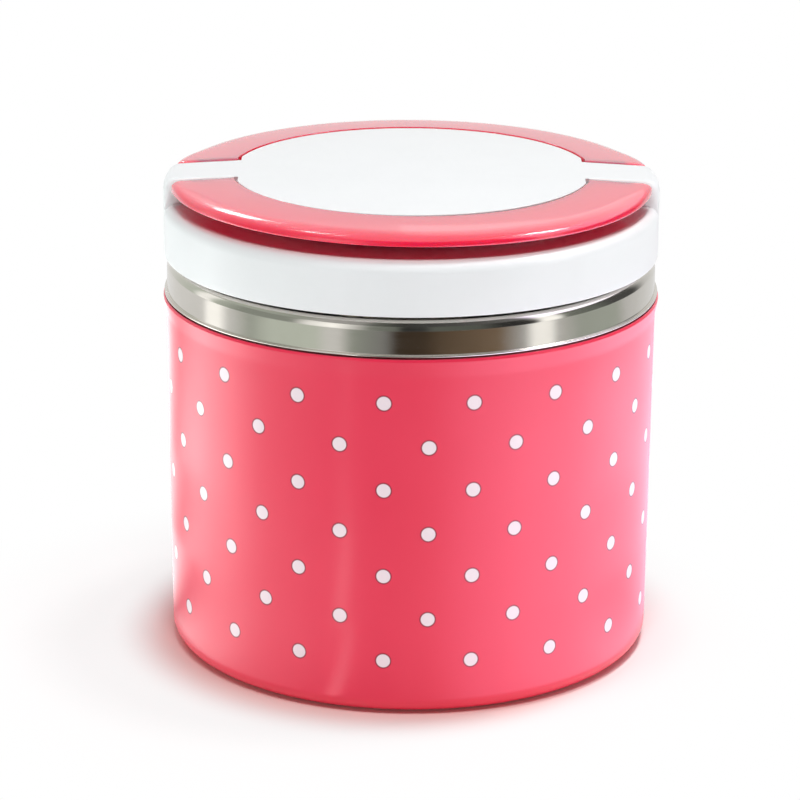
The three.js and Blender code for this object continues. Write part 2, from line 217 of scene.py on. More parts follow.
def flat_sheet(name: str, width: float, height: float, level: float = 0.0) -> bpy.types.Object:
    """Make a flat rectangle about the Z axis.

    Args:
        name: the object's name.
        width: its size along X in metres.
        height: its size along Y in metres.
        level: its height above the origin in metres.

    Returns:
        The sheet.
    """
    x = width / 2
    y = height / 2
    corners = [Vector((a, b, level)) for a, b in ((-x, -y), (x, -y), (x, y), (-x, y))]
    return mesh_object(name, corners, [(0, 1, 2, 3)])


def turned(name: str, section: Sequence[Vector], closed: bool, steps: int = RING_STEPS) -> bpy.types.Object:
    """Turn a section about the Z axis.

    Args:
        name: the object's name.
        section: points of radius and height in metres.
        closed: whether the section closes on itself; otherwise both its ends lie on the axis.
        steps: facets round the axis.

    Returns:
        The turned object.
    """
    vertices: list[Vector] = []
    rows: list[list[int]] = []
    for point in section:
        if point.x < TINY:
            rows.append([len(vertices)] * steps)
            vertices.append(Vector((0, 0, point.y)))
            continue
        rows.append(list(range(len(vertices), len(vertices) + steps)))
        for k in range(steps):
            angle = 2 * math.pi * k / steps
            vertices.append(Vector((point.x * math.cos(angle), point.x * math.sin(angle), point.y)))
    return mesh_object(name, vertices, bridged(rows, closed))


def bridged(rows: Sequence[Sequence[int]], closed: bool, ring: bool = True) -> list[list[int]]:
    """Join rows of vertices with faces.

    Args:
        rows: rows of vertex numbers, all as long; a row that repeats one number is a pole.
        closed: whether the last row joins the first.
        ring: whether each row's last vertex joins its first.

    Returns:
        The faces.
    """
    faces = []
    pairs = list(zip(rows, rows[1:]))
    if closed:
        pairs.append((rows[-1], rows[0]))
    for low, high in pairs:
        count = len(low) if ring else len(low) - 1
        for k in range(count):
            after = (k + 1) % len(low)
            face = list(dict.fromkeys((low[k], low[after], high[after], high[k])))
            if len(face) > 2:
                faces.append(face)
    return faces


def combine(target: bpy.types.Object, other: bpy.types.Object, how: Joining) -> None:
    """Join a solid to another or cut it away, and delete it.

    Args:
        target: the solid that stays.
        other: the solid that joins or cuts.
        how: join or cut.
    """
    modifier = target.modifiers.new("combine", "BOOLEAN")
    modifier.object = other
    modifier.operation = how.value
    modifier.solver = "EXACT"
    keep_modified(target)
    bpy.data.objects.remove(other)


def keep_modified(obj: bpy.types.Object) -> None:
    """Make what an object's modifiers give its own mesh.

    Args:
        obj: the object.
    """
    graph = bpy.context.evaluated_depsgraph_get()
    mesh = bpy.data.meshes.new_from_object(obj.evaluated_get(graph))
    obj.modifiers.clear()
    obj.data = mesh


def arched_block(
    name: str, inner: float, outer: float, low: float, high: float, start: float, span: float
) -> bpy.types.Object:
    """Make a block that is part of a ring seen from above, with softened edges.

    Args:
        name: the object's name.
        inner: inner radius in millimetres.
        outer: outer radius in millimetres.
        low: bottom in millimetres.
        high: top in millimetres.
        start: start angle in degrees from +X.
        span: angle that it covers in degrees.

    Returns:
        The block.
    """
    corners = [(inner, low), (outer, low), (outer, high), (inner, high)]
    steps = max(4, round(span))
    vertices = []
    rows = []
    for k in range(steps + 1):
        angle = math.radians(start + span * k / steps)
        rows.append(list(range(len(vertices), len(vertices) + len(corners))))
        for r, z in corners:
            vertices.append(Vector((r * math.cos(angle), r * math.sin(angle), z)) * MM)
    faces = bridged(rows, closed=False)
    faces.extend([rows[0][::-1], rows[-1]])
    block = mesh_object(name, vertices, faces)
    softened(block, LUG_ROUND)
    return block


def softened(obj: bpy.types.Object, width: float) -> None:
    """Round an object's sharp edges.

    Args:
        obj: the object.
        width: width of the round in metres.
    """
    modifier = obj.modifiers.new("soften", "BEVEL")
    modifier.width = width
    modifier.segments = 2
    modifier.limit_method = "ANGLE"
    modifier.angle_limit = SHARP_ANGLE
    keep_modified(obj)


def box_between(name: str, one: Vector, other: Vector) -> bpy.types.Object:
    """Make a box between two opposite corners.

    Args:
        name: the object's name.
        one: a corner in metres.
        other: the opposite corner in metres.

    Returns:
        The box.
    """
    xs, ys, zs = zip(one, other)
    vertices = [Vector((x, y, z)) for x in xs for y in ys for z in zs]
    faces = [(0, 1, 3, 2), (4, 6, 7, 5), (0, 4, 5, 1), (2, 3, 7, 6), (0, 2, 6, 4), (1, 5, 7, 3)]
    return mesh_object(name, vertices, faces)


def rod(name: str, radius: float, start: Vector, length: float, chamfer: float) -> bpy.types.Object:
    """Make a round rod along X.

    Args:
        name: the object's name.
        radius: its radius in millimetres.
        start: middle of its first end in metres.
        length: its length in millimetres, towards +X.
        chamfer: round on its ends in millimetres.

    Returns:
        The rod.
    """
    corners = [Corner(0, 0), Corner(radius, 0, chamfer), Corner(radius, length, chamfer), Corner(0, length)]
    obj = turned(name, rounded(corners, closed=False), closed=False, steps=ROD_STEPS)
    obj.data.transform(Matrix.Translation(start) @ Matrix.Rotation(math.pi / 2, 4, "Y"))
    return obj


def node_box(node: str) -> tuple[Vector, Vector]:
    """The lowest and the highest corner of a node's box, in millimetres."""
    low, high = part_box(node)
    return low / MM, high / MM


class Graph:
    """A node tree, built by short calls."""

    def __init__(self, tree: bpy.types.NodeTree) -> None:
        """Take a node tree to add to.

        Args:
            tree: the node tree.
        """
        self.nodes = tree.nodes
        self.links = tree.links

    def add(self, kind: str, inputs: dict[Any, Any] | None = None, **settings: Any) -> bpy.types.Node:
        """Add a node.

        Args:
            kind: the node's type.
            inputs: values or sockets by input name or number.
            settings: the node's own settings.

        Returns:
            The node.
        """
        node = self.nodes.new(kind)
        for name, value in settings.items():
            setattr(node, name, value)
        for name, value in (inputs or {}).items():
            self.feed(node.inputs[name], value)
        return node

    def feed(self, socket: bpy.types.NodeSocket, value: Any) -> None:
        """Give an input a value or link a socket to it.

        Args:
            socket: the input.
            value: a number, a colour or an output socket.
        """
        if isinstance(value, bpy.types.NodeSocket):
            self.links.new(value, socket)
        elif socket.type == "RGBA":
            socket.default_value = (*value, 1)
        else:
            socket.default_value = value

    def math(self, operation: str, *values: Any) -> bpy.types.NodeSocket:
        """Work out a number from others.

        Args:
            operation: Blender's name of the operation.
            values: numbers or sockets.

        Returns:
            The result's socket.
        """
        return self.add("ShaderNodeMath", dict(enumerate(values)), operation=operation).outputs[0]

    def blend(self, share: Any, low: Any, high: Any) -> bpy.types.NodeSocket:
        """Mix two colours.

        Args:
            share: how much of the second colour.
            low: the first colour.
            high: the second colour.

        Returns:
            The mixed colour's socket.
        """
        mix = self.add("ShaderNodeMix", data_type="RGBA")
        self.feed(mix.inputs[0], share)
        self.feed(mix.inputs[6], low)
        self.feed(mix.inputs[7], high)
        return mix.outputs[2]

    def spread(
        self, value: Any, low: float, high: float, to_low: float, to_high: float
    ) -> bpy.types.NodeSocket:
        """Map a number smoothly from one range to another.

        Args:
            value: the number's socket.
            low: start of its range.
            high: end of its range.
            to_low: what the start becomes.
            to_high: what the end becomes.

        Returns:
            The result's socket.
        """
        inputs = {0: value, 1: low, 2: high, 3: to_low, 4: to_high}
        return self.add("ShaderNodeMapRange", inputs, interpolation_type="SMOOTHSTEP").outputs[0]

    def place(self, stretch: Vector | None = None) -> bpy.types.NodeSocket:
        """Points of the object, stretched if wanted.

        Args:
            stretch: factors along X, Y and Z.

        Returns:
            The points' socket.
        """
        points = self.add("ShaderNodeTexCoord").outputs["Object"]
        if stretch is None:
            return points
        return self.add("ShaderNodeMapping", {"Vector": points, "Scale": stretch}).outputs[0]

    def noise(self, points: Any, scale: float, detail: float = 3) -> bpy.types.NodeSocket:
        """Cloudy noise from 0 to 1.

        Args:
            points: the points' socket.
            scale: grains per metre.
            detail: how many finer layers it has.

        Returns:
            The noise's socket.
        """
        inputs = {"Vector": points, "Scale": scale, "Detail": detail}
        return self.add("ShaderNodeTexNoise", inputs).outputs["Fac"]

    def shown(self) -> bpy.types.NodeSocket:
        """Tell what is seen, directly or in reflections, from what only lights the box.

        Returns:
            A socket that is 1 where the surface is seen and 0 where it only lights.
        """
        path = self.add("ShaderNodeLightPath").outputs
        seen = self.math("MAXIMUM", path["Is Camera Ray"], path["Is Glossy Ray"])
        through = self.math("MAXIMUM", seen, path["Is Transmission Ray"])
        return self.math("MULTIPLY", through, self.math("LESS_THAN", path["Diffuse Depth"], 0.5))


class Paint(Graph):
    """A material's node tree with its shader."""

    def __init__(self, name: str) -> None:
        """Start a material with only its output and shader, one that lamps alone light.

        Args:
            name: the material's name.
        """
        self.material = bpy.data.materials.new(name)
        self.material.cycles.emission_sampling = "NONE"
        self.material.use_nodes = True
        super().__init__(self.material.node_tree)
        self.shader = self.nodes["Principled BSDF"]

    def bump(self, height: Any, depth: float, strength: float = 1.0) -> None:
        """Let a height change the surface's normal.

        Args:
            height: the height's socket, from 0 to 1.
            depth: how deep a height of 1 is, in metres.
            strength: how strongly it shows.
        """
        inputs = {"Height": height, "Distance": depth, "Strength": strength}
        self.feed(self.shader.inputs["Normal"], self.add("ShaderNodeBump", inputs).outputs[0])

    def clouded(self, scale: float, one: Colour, other: Colour) -> bpy.types.NodeSocket:
        """Two colours that change into each other in soft clouds.

        Args:
            scale: clouds per metre.
            one: the first colour.
            other: the second colour.

        Returns:
            The colour's socket.
        """
        clouds = self.noise(self.place(), scale)
        return self.blend(self.spread(clouds, CLOUDS_FROM, CLOUDS_TO, 0, 1), one, other)

    def shine(self, colour: Any, strength: Any) -> None:
        """Let the surface give light and reflect none.

        Args:
            colour: the light's colour or its socket.
            strength: the light's strength or its socket.
        """
        self.set(Base_Color=BLACK, Roughness=1.0, Specular_IOR_Level=0.0)
        self.set(Emission_Color=colour, Emission_Strength=strength)

    def set(self, **values: Any) -> None:
        """Give the shader's inputs values.

        Args:
            values: values or sockets by input name, with underscores for its spaces.
        """
        for name, value in values.items():
            self.feed(self.shader.inputs[name.replace("_", " ")], value)


@dataclass(frozen=True)
class MouldedPlastic:
    """Moulded plastic: an even colour with faint clouds and a fine orange-peel skin."""

    name: str
    colour: Colour
    shade: Colour
    roughness: float
    coat: float
    coat_roughness: float = 0.06
    peel_scale: float = 250
    peel_depth: float = 0.004 * MM
    translucency: float = 0.0
    light_reach: float = 7.0 * MM
    light_tint: Colour = (1.0, 0.12, 0.18)
    specular: float = 0.5
    cloud_scale: float = 45
    wear_scale: float = 45
    wear: float = 0.06

    def material(self) -> bpy.types.Material:
        """Build the material.

        Returns:
            The material.
        """
        graph = Paint(self.name)
        self.finish(graph, self.colouring(graph))
        return graph.material

    def colouring(self, graph: Paint) -> bpy.types.NodeSocket:
        """The plastic's colour with its clouds."""
        return graph.clouded(self.cloud_scale, self.colour, self.shade)

    def finish(self, graph: Paint, base: bpy.types.NodeSocket) -> None:
        """Set the gloss and the skin.

        Args:
            graph: the material's nodes.
            base: the colour's socket.
        """
        points = graph.place()
        smoothest = self.roughness * (1 - self.wear)
        roughest = self.roughness * (1 + self.wear)
        rough = graph.spread(graph.noise(points, self.wear_scale, 0), 0, 1, smoothest, roughest)
        graph.set(Base_Color=base, Roughness=rough, Specular_IOR_Level=self.specular)
        graph.set(Coat_Weight=self.coat, Coat_Roughness=self.coat_roughness)
        graph.set(Subsurface_Weight=self.translucency, Subsurface_Scale=self.light_reach)
        graph.set(Subsurface_Radius=self.light_tint)
        graph.bump(graph.noise(points, self.peel_scale, 1), self.peel_depth)


@dataclass(frozen=True)
class DottedPlastic(MouldedPlastic):
    """Plastic with a wrapped print of dots in staggered columns, with the print's seam near the front.

    Knots are degrees from the seam and a number there: the column's number, how far its dots stand too
    high in millimetres, and how far the column leans in degrees per metre.
    """

    cloud_scale: float = 30
    dot_colour: Colour = srgb(243, 227, 233)
    dot_radius: float = 1.93 * MM
    dot_edge: float = 0.14 * MM
    rim_colour: Colour = srgb(104, 8, 38)
    rim_width: float = 0.52 * MM
    rim_depth: float = 0.85
    column_pitch: float = 12.25 * MM
    row_pitch: float = 24.8 * MM
    first_row: float = 90.9 * MM
    print_bottom: float = 11 * MM
    print_top: float = 97 * MM
    lean_start: float = 103 * MM
    seam_degrees: float = -31.7
    columns_round: Knots = ((0, 3.443), (106.7, 14.04), (281.7, 31.88), (360, 39.547))
    drift_round: Knots = ((0, -0.24), (106.7, -0.985), (281.7, -1.91), (360, 1.21))
    lean_round: Knots = ((0, 0), (106.7, 0), (281.7, 31), (360, 31))

    def colouring(self, graph: Paint) -> bpy.types.NodeSocket:
        """The plastic's colour with the printed dots.

        Args:
            graph: the material's nodes.

        Returns:
            The colour's socket.
        """
        ground = super().colouring(graph)
        dot, rim = self.dots(graph)
        return graph.blend(dot, graph.blend(rim, ground, self.rim_colour), self.dot_colour)

    def along_wrap(
        self, graph: Graph, turn: bpy.types.NodeSocket, knots: Knots, unit: float = 1.0
    ) -> bpy.types.NodeSocket:
        """A number that changes at a steady rate between places round the shell.

        Args:
            graph: the material's nodes.
            turn: degrees from the print's seam.
            knots: degrees and the number there.
            unit: factor on the numbers.

        Returns:
            The number's socket.
        """
        total: Any = knots[0][1] * unit
        for (start, low), (end, high) in zip(knots, knots[1:]):
            inputs = {0: turn, 1: start, 2: end, 3: 0.0, 4: (high - low) * unit}
            step = graph.add("ShaderNodeMapRange", inputs, clamp=True).outputs[0]
            total = graph.math("ADD", step, total)
        return total

    def turn_round(self, graph: Graph, parts: Sequence[bpy.types.NodeSocket]) -> bpy.types.NodeSocket:
        """Degrees round the shell from the print's seam, along its leaning columns.

        Args:
            graph: the material's nodes.
            parts: X, Y and Z of points on the shell.

        Returns:
            The angle's socket.
        """
        behind = graph.math("MULTIPLY", parts[1], -1.0)
        azimuth = graph.math("DEGREES", graph.math("ARCTAN2", parts[0], behind))
        from_seam = graph.math("SUBTRACT", azimuth, self.seam_degrees)
        straight = graph.math("FLOORED_MODULO", from_seam, 360.0)
        below_lip = graph.math("SUBTRACT", self.lean_start, parts[2])
        lean = graph.math("MULTIPLY", self.along_wrap(graph, straight, self.lean_round), below_lip)
        return graph.math("SUBTRACT", straight, lean)

    def off_dot(self, graph: Graph, parts: Sequence[bpy.types.NodeSocket]) -> bpy.types.NodeSocket:
        """Distance from the middle of the nearest dot.

        Args:
            graph: the material's nodes.
            parts: X, Y and Z of points on the shell.

        Returns:
            The distance's socket, in metres.
        """
        turn = self.turn_round(graph, parts)
        column = self.along_wrap(graph, turn, self.columns_round)
        drift = self.along_wrap(graph, turn, self.drift_round, MM)
        nearest = graph.math("ROUND", column)
        across = graph.math("MULTIPLY", graph.math("SUBTRACT", column, nearest), self.column_pitch)
        stagger = graph.math("MULTIPLY", graph.math("FLOORED_MODULO", nearest, 2.0), 0.5)
        height = graph.math("SUBTRACT", graph.math("SUBTRACT", parts[2], drift), self.first_row)
        row = graph.math("ADD", graph.math("DIVIDE", height, self.row_pitch), stagger)
        off_row = graph.math("SUBTRACT", row, graph.math("ROUND", row))
        up = graph.math("MULTIPLY", off_row, self.row_pitch)
        squares = graph.math("ADD", graph.math("POWER", across, 2.0), graph.math("POWER", up, 2.0))
        return graph.math("SQRT", squares)

    def dots(self, graph: Graph) -> tuple[bpy.types.NodeSocket, bpy.types.NodeSocket]:
        """Where the dots are, and the thin rims round them.

        Args:
            graph: the material's nodes.

        Returns:
            A socket that is 1 on a dot and 0 off it, and one that fades out from a dot's edge.
        """
        parts = graph.add("ShaderNodeSeparateXYZ", {0: graph.place()}).outputs
        far = self.off_dot(graph, parts)
        edge = self.dot_radius + self.dot_edge
        dot = graph.spread(far, self.dot_radius - self.dot_edge, edge, 1, 0)
        rim = graph.spread(far, edge, self.dot_radius + self.rim_width, self.rim_depth, 0)
        above = graph.math("GREATER_THAN", parts[2], self.print_bottom)
        below = graph.math("LESS_THAN", parts[2], self.print_top)
        printed = graph.math("MULTIPLY", above, below)
        return graph.math("MULTIPLY", dot, printed), graph.math("MULTIPLY", rim, printed)


@dataclass(frozen=True)
class TurnedSteel:
    """Steel with fine marks round its axis."""

    name: str
    colour: Colour
    shade: Colour
    roughness: float
    anisotropy: float
    mark_stretch: tuple[float, float, float] = (6, 6, 4000)
    mark_layers: float = 4
    mark_depth: float = 0.0006 * MM
    wear: float = 0.25
    cloud_scale: float = 60

    def material(self) -> bpy.types.Material:
        """Build the material.

        Returns:
            The material.
        """
        graph = Paint(self.name)
        marks = graph.noise(graph.place(Vector(self.mark_stretch)), 1.0, self.mark_layers)
        base = graph.clouded(self.cloud_scale, self.colour, self.shade)
        smoothest = self.roughness * (1 - self.wear)
        roughest = self.roughness * (1 + self.wear)
        rough = graph.spread(marks, CLOUDS_FROM, CLOUDS_TO, smoothest, roughest)
        graph.set(Base_Color=base, Metallic=1.0, Roughness=rough, Anisotropic=self.anisotropy)
        tangent = graph.add("ShaderNodeTangent", direction_type="RADIAL", axis="Z").outputs[0]
        graph.set(Tangent=tangent)
        graph.bump(marks, self.mark_depth)
        return graph.material


@dataclass(frozen=True)
class Silicone:
    """Soft milky silicone with a powdery skin."""

    name: str
    colour: Colour
    roughness: float
    dust_scale: float = 500
    dust_shade: float = 0.93
    dust_dulling: float = 0.12
    dust_edges: tuple[float, float] = (0.35, 0.65)
    milkiness: float = 0.3
    light_reach: float = 1.5 * MM
    skin_scale: float = 2500
    skin_depth: float = 0.006 * MM

    def material(self) -> bpy.types.Material:
        """Build the material.

        Returns:
            The material.
        """
        graph = Paint(self.name)
        points = graph.place()
        dust = graph.noise(points, self.dust_scale)
        darker = tuple(self.dust_shade * c for c in self.colour)
        base = graph.blend(graph.spread(dust, *self.dust_edges, 0, 1), self.colour, darker)
        dull = self.roughness + self.dust_dulling
        rough = graph.spread(dust, CLOUDS_FROM, CLOUDS_TO, self.roughness, dull)
        graph.set(Base_Color=base, Roughness=rough)
        graph.set(Subsurface_Weight=self.milkiness, Subsurface_Scale=self.light_reach)
        graph.bump(graph.noise(points, self.skin_scale), self.skin_depth)
        return graph.material


@dataclass(frozen=True)
class RigidFoam:
    """Poured rigid foam with fine cells, with painted shade in each cell's hollow."""

    name: str
    colour: Colour
    cell: float
    cell_depth: float = 0.3 * MM
    painted_hollow_shade: float = 0.8
    cell_edges: tuple[float, float] = (0.1, 0.7)
    roughness: float = 0.9

    def material(self) -> bpy.types.Material:
        """Build the material.

        Returns:
            The material.
        """
        graph = Paint(self.name)
        inputs = {"Vector": graph.place(), "Scale": 1 / self.cell}
        cells = graph.add("ShaderNodeTexVoronoi", inputs).outputs["Distance"]
        # Painted shade: darker towards each cell's middle, where the bump sinks it.
        darker = tuple(self.painted_hollow_shade * c for c in self.colour)
        base = graph.blend(graph.spread(cells, *self.cell_edges, 0, 1), darker, self.colour)
        graph.set(Base_Color=base, Roughness=self.roughness)
        graph.bump(cells, self.cell_depth)
        return graph.material


class Finishes:
    """The finishes by the record's slot names, each built once."""

    def __init__(self) -> None:
        """Build all materials."""
        coral = srgb(238, 50, 82)
        deep_coral = srgb(236, 47, 79)
        bright = srgb(253, 28, 78)
        deep_bright = srgb(251, 26, 75)
        finishes = {
            "shell_plastic": DottedPlastic("dotted_shell", coral, deep_coral, 0.42, 0.5, 0.2),
            "handle_plastic": MouldedPlastic(
                "coral_handle", bright, deep_bright, 0.25, 1.0, translucency=1.0, specular=0.8
            ),
            "lid_plastic": MouldedPlastic(
                "white_lid", srgb(241, 243, 244), srgb(239, 241, 242), 0.3, 0.2
            ),
            "liner_plastic": MouldedPlastic(
                "white_liner", srgb(238, 239, 238), srgb(234, 236, 235), 0.42, 0.0
            ),
            "collar_plastic": MouldedPlastic(
                "collar", srgb(222, 220, 216), srgb(216, 214, 210), 0.55, 0.0
            ),
            "bowl_steel": TurnedSteel("bowl_steel", srgb(232, 230, 226), srgb(226, 224, 220), 0.3, 0.5),
            "band_steel": TurnedSteel("band_steel", srgb(222, 218, 210), srgb(216, 212, 203), 0.1, 0.6),
            "pin_steel": TurnedSteel("pin_steel", srgb(205, 203, 200), srgb(196, 194, 190), 0.3, 0.2),
            "silicone": Silicone("silicone", srgb(232, 230, 225), 0.5),
            "foam": RigidFoam("rigid_foam", srgb(240, 232, 212), 0.9 * MM),
        }
        self.by_slot = {slot: finish.material() for slot, finish in finishes.items()}


class Assembly:
    """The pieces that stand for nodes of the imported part."""

    def __init__(self, finishes: Finishes) -> None:
        """Keep the finishes and look up where the nodes belong.

        Args:
            finishes: the built materials.
        """
        record = frame["record"]
        bodies = record["behaviour"]["bodies"]
        self.finishes = finishes
        self.slots = {part["node"]: part["material_slot"] for part in record["subparts"]}
        self.bodies = {node: body for body, nodes in bodies.items() for node in nodes}

    def dress(self, obj: bpy.types.Object, node: str) -> None:
        """Give a piece its finish and let it stand for a node.

        Args:
            obj: the piece.
            node: the node.
        """
        slot = self.slots[node]
        body = self.bodies[node]
        mesh = obj.data
        mesh.materials.clear()
        mesh.materials.append(self.finishes.by_slot[slot])
        mesh.shade_smooth()
        mesh.set_sharp_from_angle(angle=SHARP_ANGLE)
        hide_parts(node)
        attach(obj, body)
        log.info("%s stands for %s on %s, %d faces", obj.name, node, body, len(mesh.polygons))

    def turn(self, node: str, corners: Sequence[Corner], closed: bool) -> bpy.types.Object:
        """Turn a piece from a section and name it after its node.

        Args:
            node: the node that it stands for.
            corners: its section.
            closed: whether the section closes on itself.

        Returns:
            The piece.
        """
        return turned(node + "_fine", rounded(corners, closed), closed)

    def add_turned(self, node: str, corners: Sequence[Corner], closed: bool) -> None:
        """Turn a piece that needs nothing more, and dress it."""
        self.dress(self.turn(node, corners, closed), node)


@dataclass
class Shell:
    """The dotted outer cup with its ring foot and flared lip, and the foam inside it."""

    assembly: Assembly
    radius: float = 69.8
    taper: float = 0.7
    wall: float = 2.4
    floor: float = 2.8
    corner: float = 5.2
    lip_radius: float = 70.6
    lip_height: float = 5.0
    foot_inner: float = 54.0
    foot_recess: float = 1.6
    foot_slope: float = 2.0
    lip_round: float = 10.0
    lip_edge: float = 0.7
    lip_slope: float = 0.3
    sleeve_foot_inner: float = 56.6
    sleeve_foot_outer: float = 66.45
    sleeve_step: float = 91.6
    sleeve_neck: float = 63.7
    sleeve_top_inner: float = 59.05

    def __post_init__(self) -> None:
        """Read the shell's height from the frame."""
        self.height = node_box("outer_shell")[1].z

    def radius_at(self, z: float) -> float:
        """Outside radius at a height, in millimetres."""
        return self.radius - self.taper * (1 - z / self.height)

    def build(self) -> None:
        """Build and dress the pieces."""
        self.cup()
        self.foam()

    def cup(self) -> None:
        """The cup."""
        floor_top = self.foot_recess + self.floor
        lip_foot = self.height - self.lip_height
        inner_corner = self.corner - self.wall
        corners = [
            Corner(0, self.foot_recess),
            Corner(self.foot_inner - self.foot_slope, self.foot_recess, 0.8),
            Corner(self.foot_inner, 0, 0.6),
            Corner(self.radius_at(0), 0, self.corner),
            Corner(self.radius_at(lip_foot), lip_foot, self.lip_round),
            Corner(self.lip_radius, self.height - self.lip_edge, 0.5),
            Corner(self.lip_radius - self.lip_slope, self.height, 0.3),
            Corner(self.radius - self.wall, self.height, 0.4),
            Corner(self.radius_at(floor_top) - self.wall, floor_top, inner_corner),
            Corner(0, floor_top),
        ]
        self.assembly.add_turned("outer_shell", corners, closed=False)

    def foam(self) -> None:
        """The foam under and round the bowl, cut as the frame has it."""
        low, high = node_box("insulation_base")
        chamfer = self.corner - self.wall
        base = [
            Corner(0, low.z),
            Corner(high.x - chamfer, low.z, 0.5),
            Corner(high.x, low.z + chamfer, 0.5),
            Corner(high.x, high.z, 0.4),
            Corner(0, high.z),
        ]
        self.assembly.add_turned("insulation_base", base, closed=False)
        low, high = node_box("insulation_sleeve")
        sleeve = [
            Corner(self.sleeve_foot_inner, low.z, 0.4),
            Corner(self.sleeve_foot_outer, low.z, 0.4),
            Corner(high.x, self.sleeve_step, 0.4),
            Corner(self.sleeve_neck, self.sleeve_step),
            Corner(self.sleeve_neck, high.z, 0.4),
            Corner(self.sleeve_top_inner, high.z, 0.4),
        ]
        self.assembly.add_turned("insulation_sleeve", sleeve, closed=True)


@dataclass
class SteelLiner:
    """The bowl, the visible neck band with its lugs, and the collar and seal between them and the shell.

    Each lug is a trifle short of its span, so that it ends between two facets of the band, and its stop
    is a hair smaller, so that no two of their faces lie in one plane.
    """

    assembly: Assembly
    steel: float = 0.6
    ledge: float = 114.3
    ease: float = 0.05
    band_radius: float = 69.5
    hem_width: float = 0.8
    shoulder: float = 3.9
    flange: float = 5.0
    bowl_radius: float = 58.1
    bowl_taper: float = 2.5
    bowl_corner: float = 12.0
    lug_count: int = 4
    lug_span: float = 24.0
    lug_trim: float = 0.17
    lug_tip: float = 67.5
    lug_low: float = 118.7
    lug_high: float = 120.7
    stop_low: float = 116.2
    stop_span: float = 4.0
    stop_gap: float = 0.5
    stop_overlap: float = 0.3
    hair: float = 0.04
    collar_inner: float = 64.1
    collar_gap: float = 0.3
    shell_top: float = 103.0
    seal_width: float = 1.0

    def build(self) -> None:
        """Build and dress the pieces."""
        self.band()
        self.bowl()
        self.collar()
        self.seal()

    def band(self) -> None:
        """The band: hem over the shell's lip, wall, round shoulder, and the neck with its lugs."""
        band = self.assembly.turn("neck_band", self.band_section(), closed=True)
        for i in range(self.lug_count):
            combine(band, self.lug(360 / self.lug_count * i), Joining.ADD)
        self.assembly.dress(band, "neck_band")

    def band_section(self) -> list[Corner]:
        """The section of the band and its neck.

        Returns:
            Its corners, from the hem up the outside and down the inside.
        """
        low, high = node_box("neck_band")
        neck = self.band_radius - self.shoulder
        inner = self.band_radius - self.steel
        hem = self.band_radius + self.hem_width
        hem_top = low.z + self.steel
        under_rim = high.z - self.steel
        under_ledge = self.ledge - self.steel
        return [
            Corner(inner, low.z, 0.1),
            Corner(hem, low.z, 0.28),
            Corner(hem, hem_top, 0.28),
            Corner(self.band_radius, hem_top, 0.15),
            Corner(self.band_radius, self.ledge, self.shoulder - self.ease),
            Corner(neck, self.ledge, 0.02),
            Corner(neck, high.z, 0.4),
            Corner(neck - self.flange, high.z, 0.2),
            Corner(neck - self.flange, under_rim, 0.2),
            Corner(neck - self.steel, under_rim, 0.1),
            Corner(neck - self.steel, under_ledge, 0.02),
            Corner(inner, under_ledge, self.shoulder - self.steel - self.ease),
        ]

    def lug(self, middle: float) -> bpy.types.Object:
        """One lug of the twist lock with its stop.

        Args:
            middle: the lug's middle in degrees from +X.

        Returns:
            The lug, which reaches into the neck.
        """
        root = self.band_radius - self.shoulder - self.steel / 2
        start = middle - self.lug_span / 2 - self.stop_gap
        span = self.lug_span + self.stop_gap - self.lug_trim
        lug = arched_block("lug", root, self.lug_tip, self.lug_low, self.lug_high, start, span)
        stop = arched_block(
            "stop",
            root + self.hair,
            self.lug_tip - self.hair,
            self.stop_low,
            self.lug_high - self.hair,
            start - self.stop_span,
            self.stop_span + self.stop_overlap,
        )
        combine(lug, stop, Joining.ADD)
        return lug

    def bowl(self) -> None:
        """The drawn bowl with its rolled rim."""
        low, high = node_box("inner_bowl")
        foot = self.bowl_radius - self.bowl_taper
        corners = [
            Corner(0, low.z),
            Corner(foot + self.steel, low.z, self.bowl_corner + self.steel),
            Corner(self.bowl_radius + self.steel, high.z - self.steel, 0.6),
            Corner(high.x, high.z - self.steel, 0.2),
            Corner(high.x, high.z, 0.2),
            Corner(self.bowl_radius, high.z, 1.2),
            Corner(foot, low.z + self.steel, self.bowl_corner),
            Corner(0, low.z + self.steel),
        ]
        self.assembly.add_turned("inner_bowl", corners, closed=False)

    def collar(self) -> None:
        """The plastic ring between the steel band and the shell, with the seal's groove."""
        low, high = node_box("neck_collar")
        seal_low, seal_high = node_box("shell_seal")
        gap = self.collar_gap
        groove = seal_high.x - self.seal_width - gap
        ledge = self.shell_top + gap
        corners = [
            Corner(self.collar_inner, low.z, 0.4),
            Corner(seal_high.x, low.z, 0.4),
            Corner(seal_high.x, seal_low.z - gap, 0.1),
            Corner(groove, seal_low.z - gap, 0.1),
            Corner(groove, seal_high.z + gap, 0.1),
            Corner(seal_high.x, seal_high.z + gap, 0.1),
            Corner(seal_high.x, ledge, 0.1),
            Corner(high.x, ledge, 0.2),
            Corner(high.x, high.z, 0.4),
            Corner(self.collar_inner, high.z, 0.4),
        ]
        self.assembly.add_turned("neck_collar", corners, closed=True)

    def seal(self) -> None:
        """The rubber ring in the collar's groove."""
        low, high = node_box("shell_seal")
        inner = high.x - self.seal_width
        corners = [
            Corner(inner, low.z, 0.25),
            Corner(high.x, low.z, 0.4),
            Corner(high.x, high.z, 0.4),
            Corner(inner, high.z, 0.25),
        ]
        self.assembly.add_turned("shell_seal", corners, closed=True)


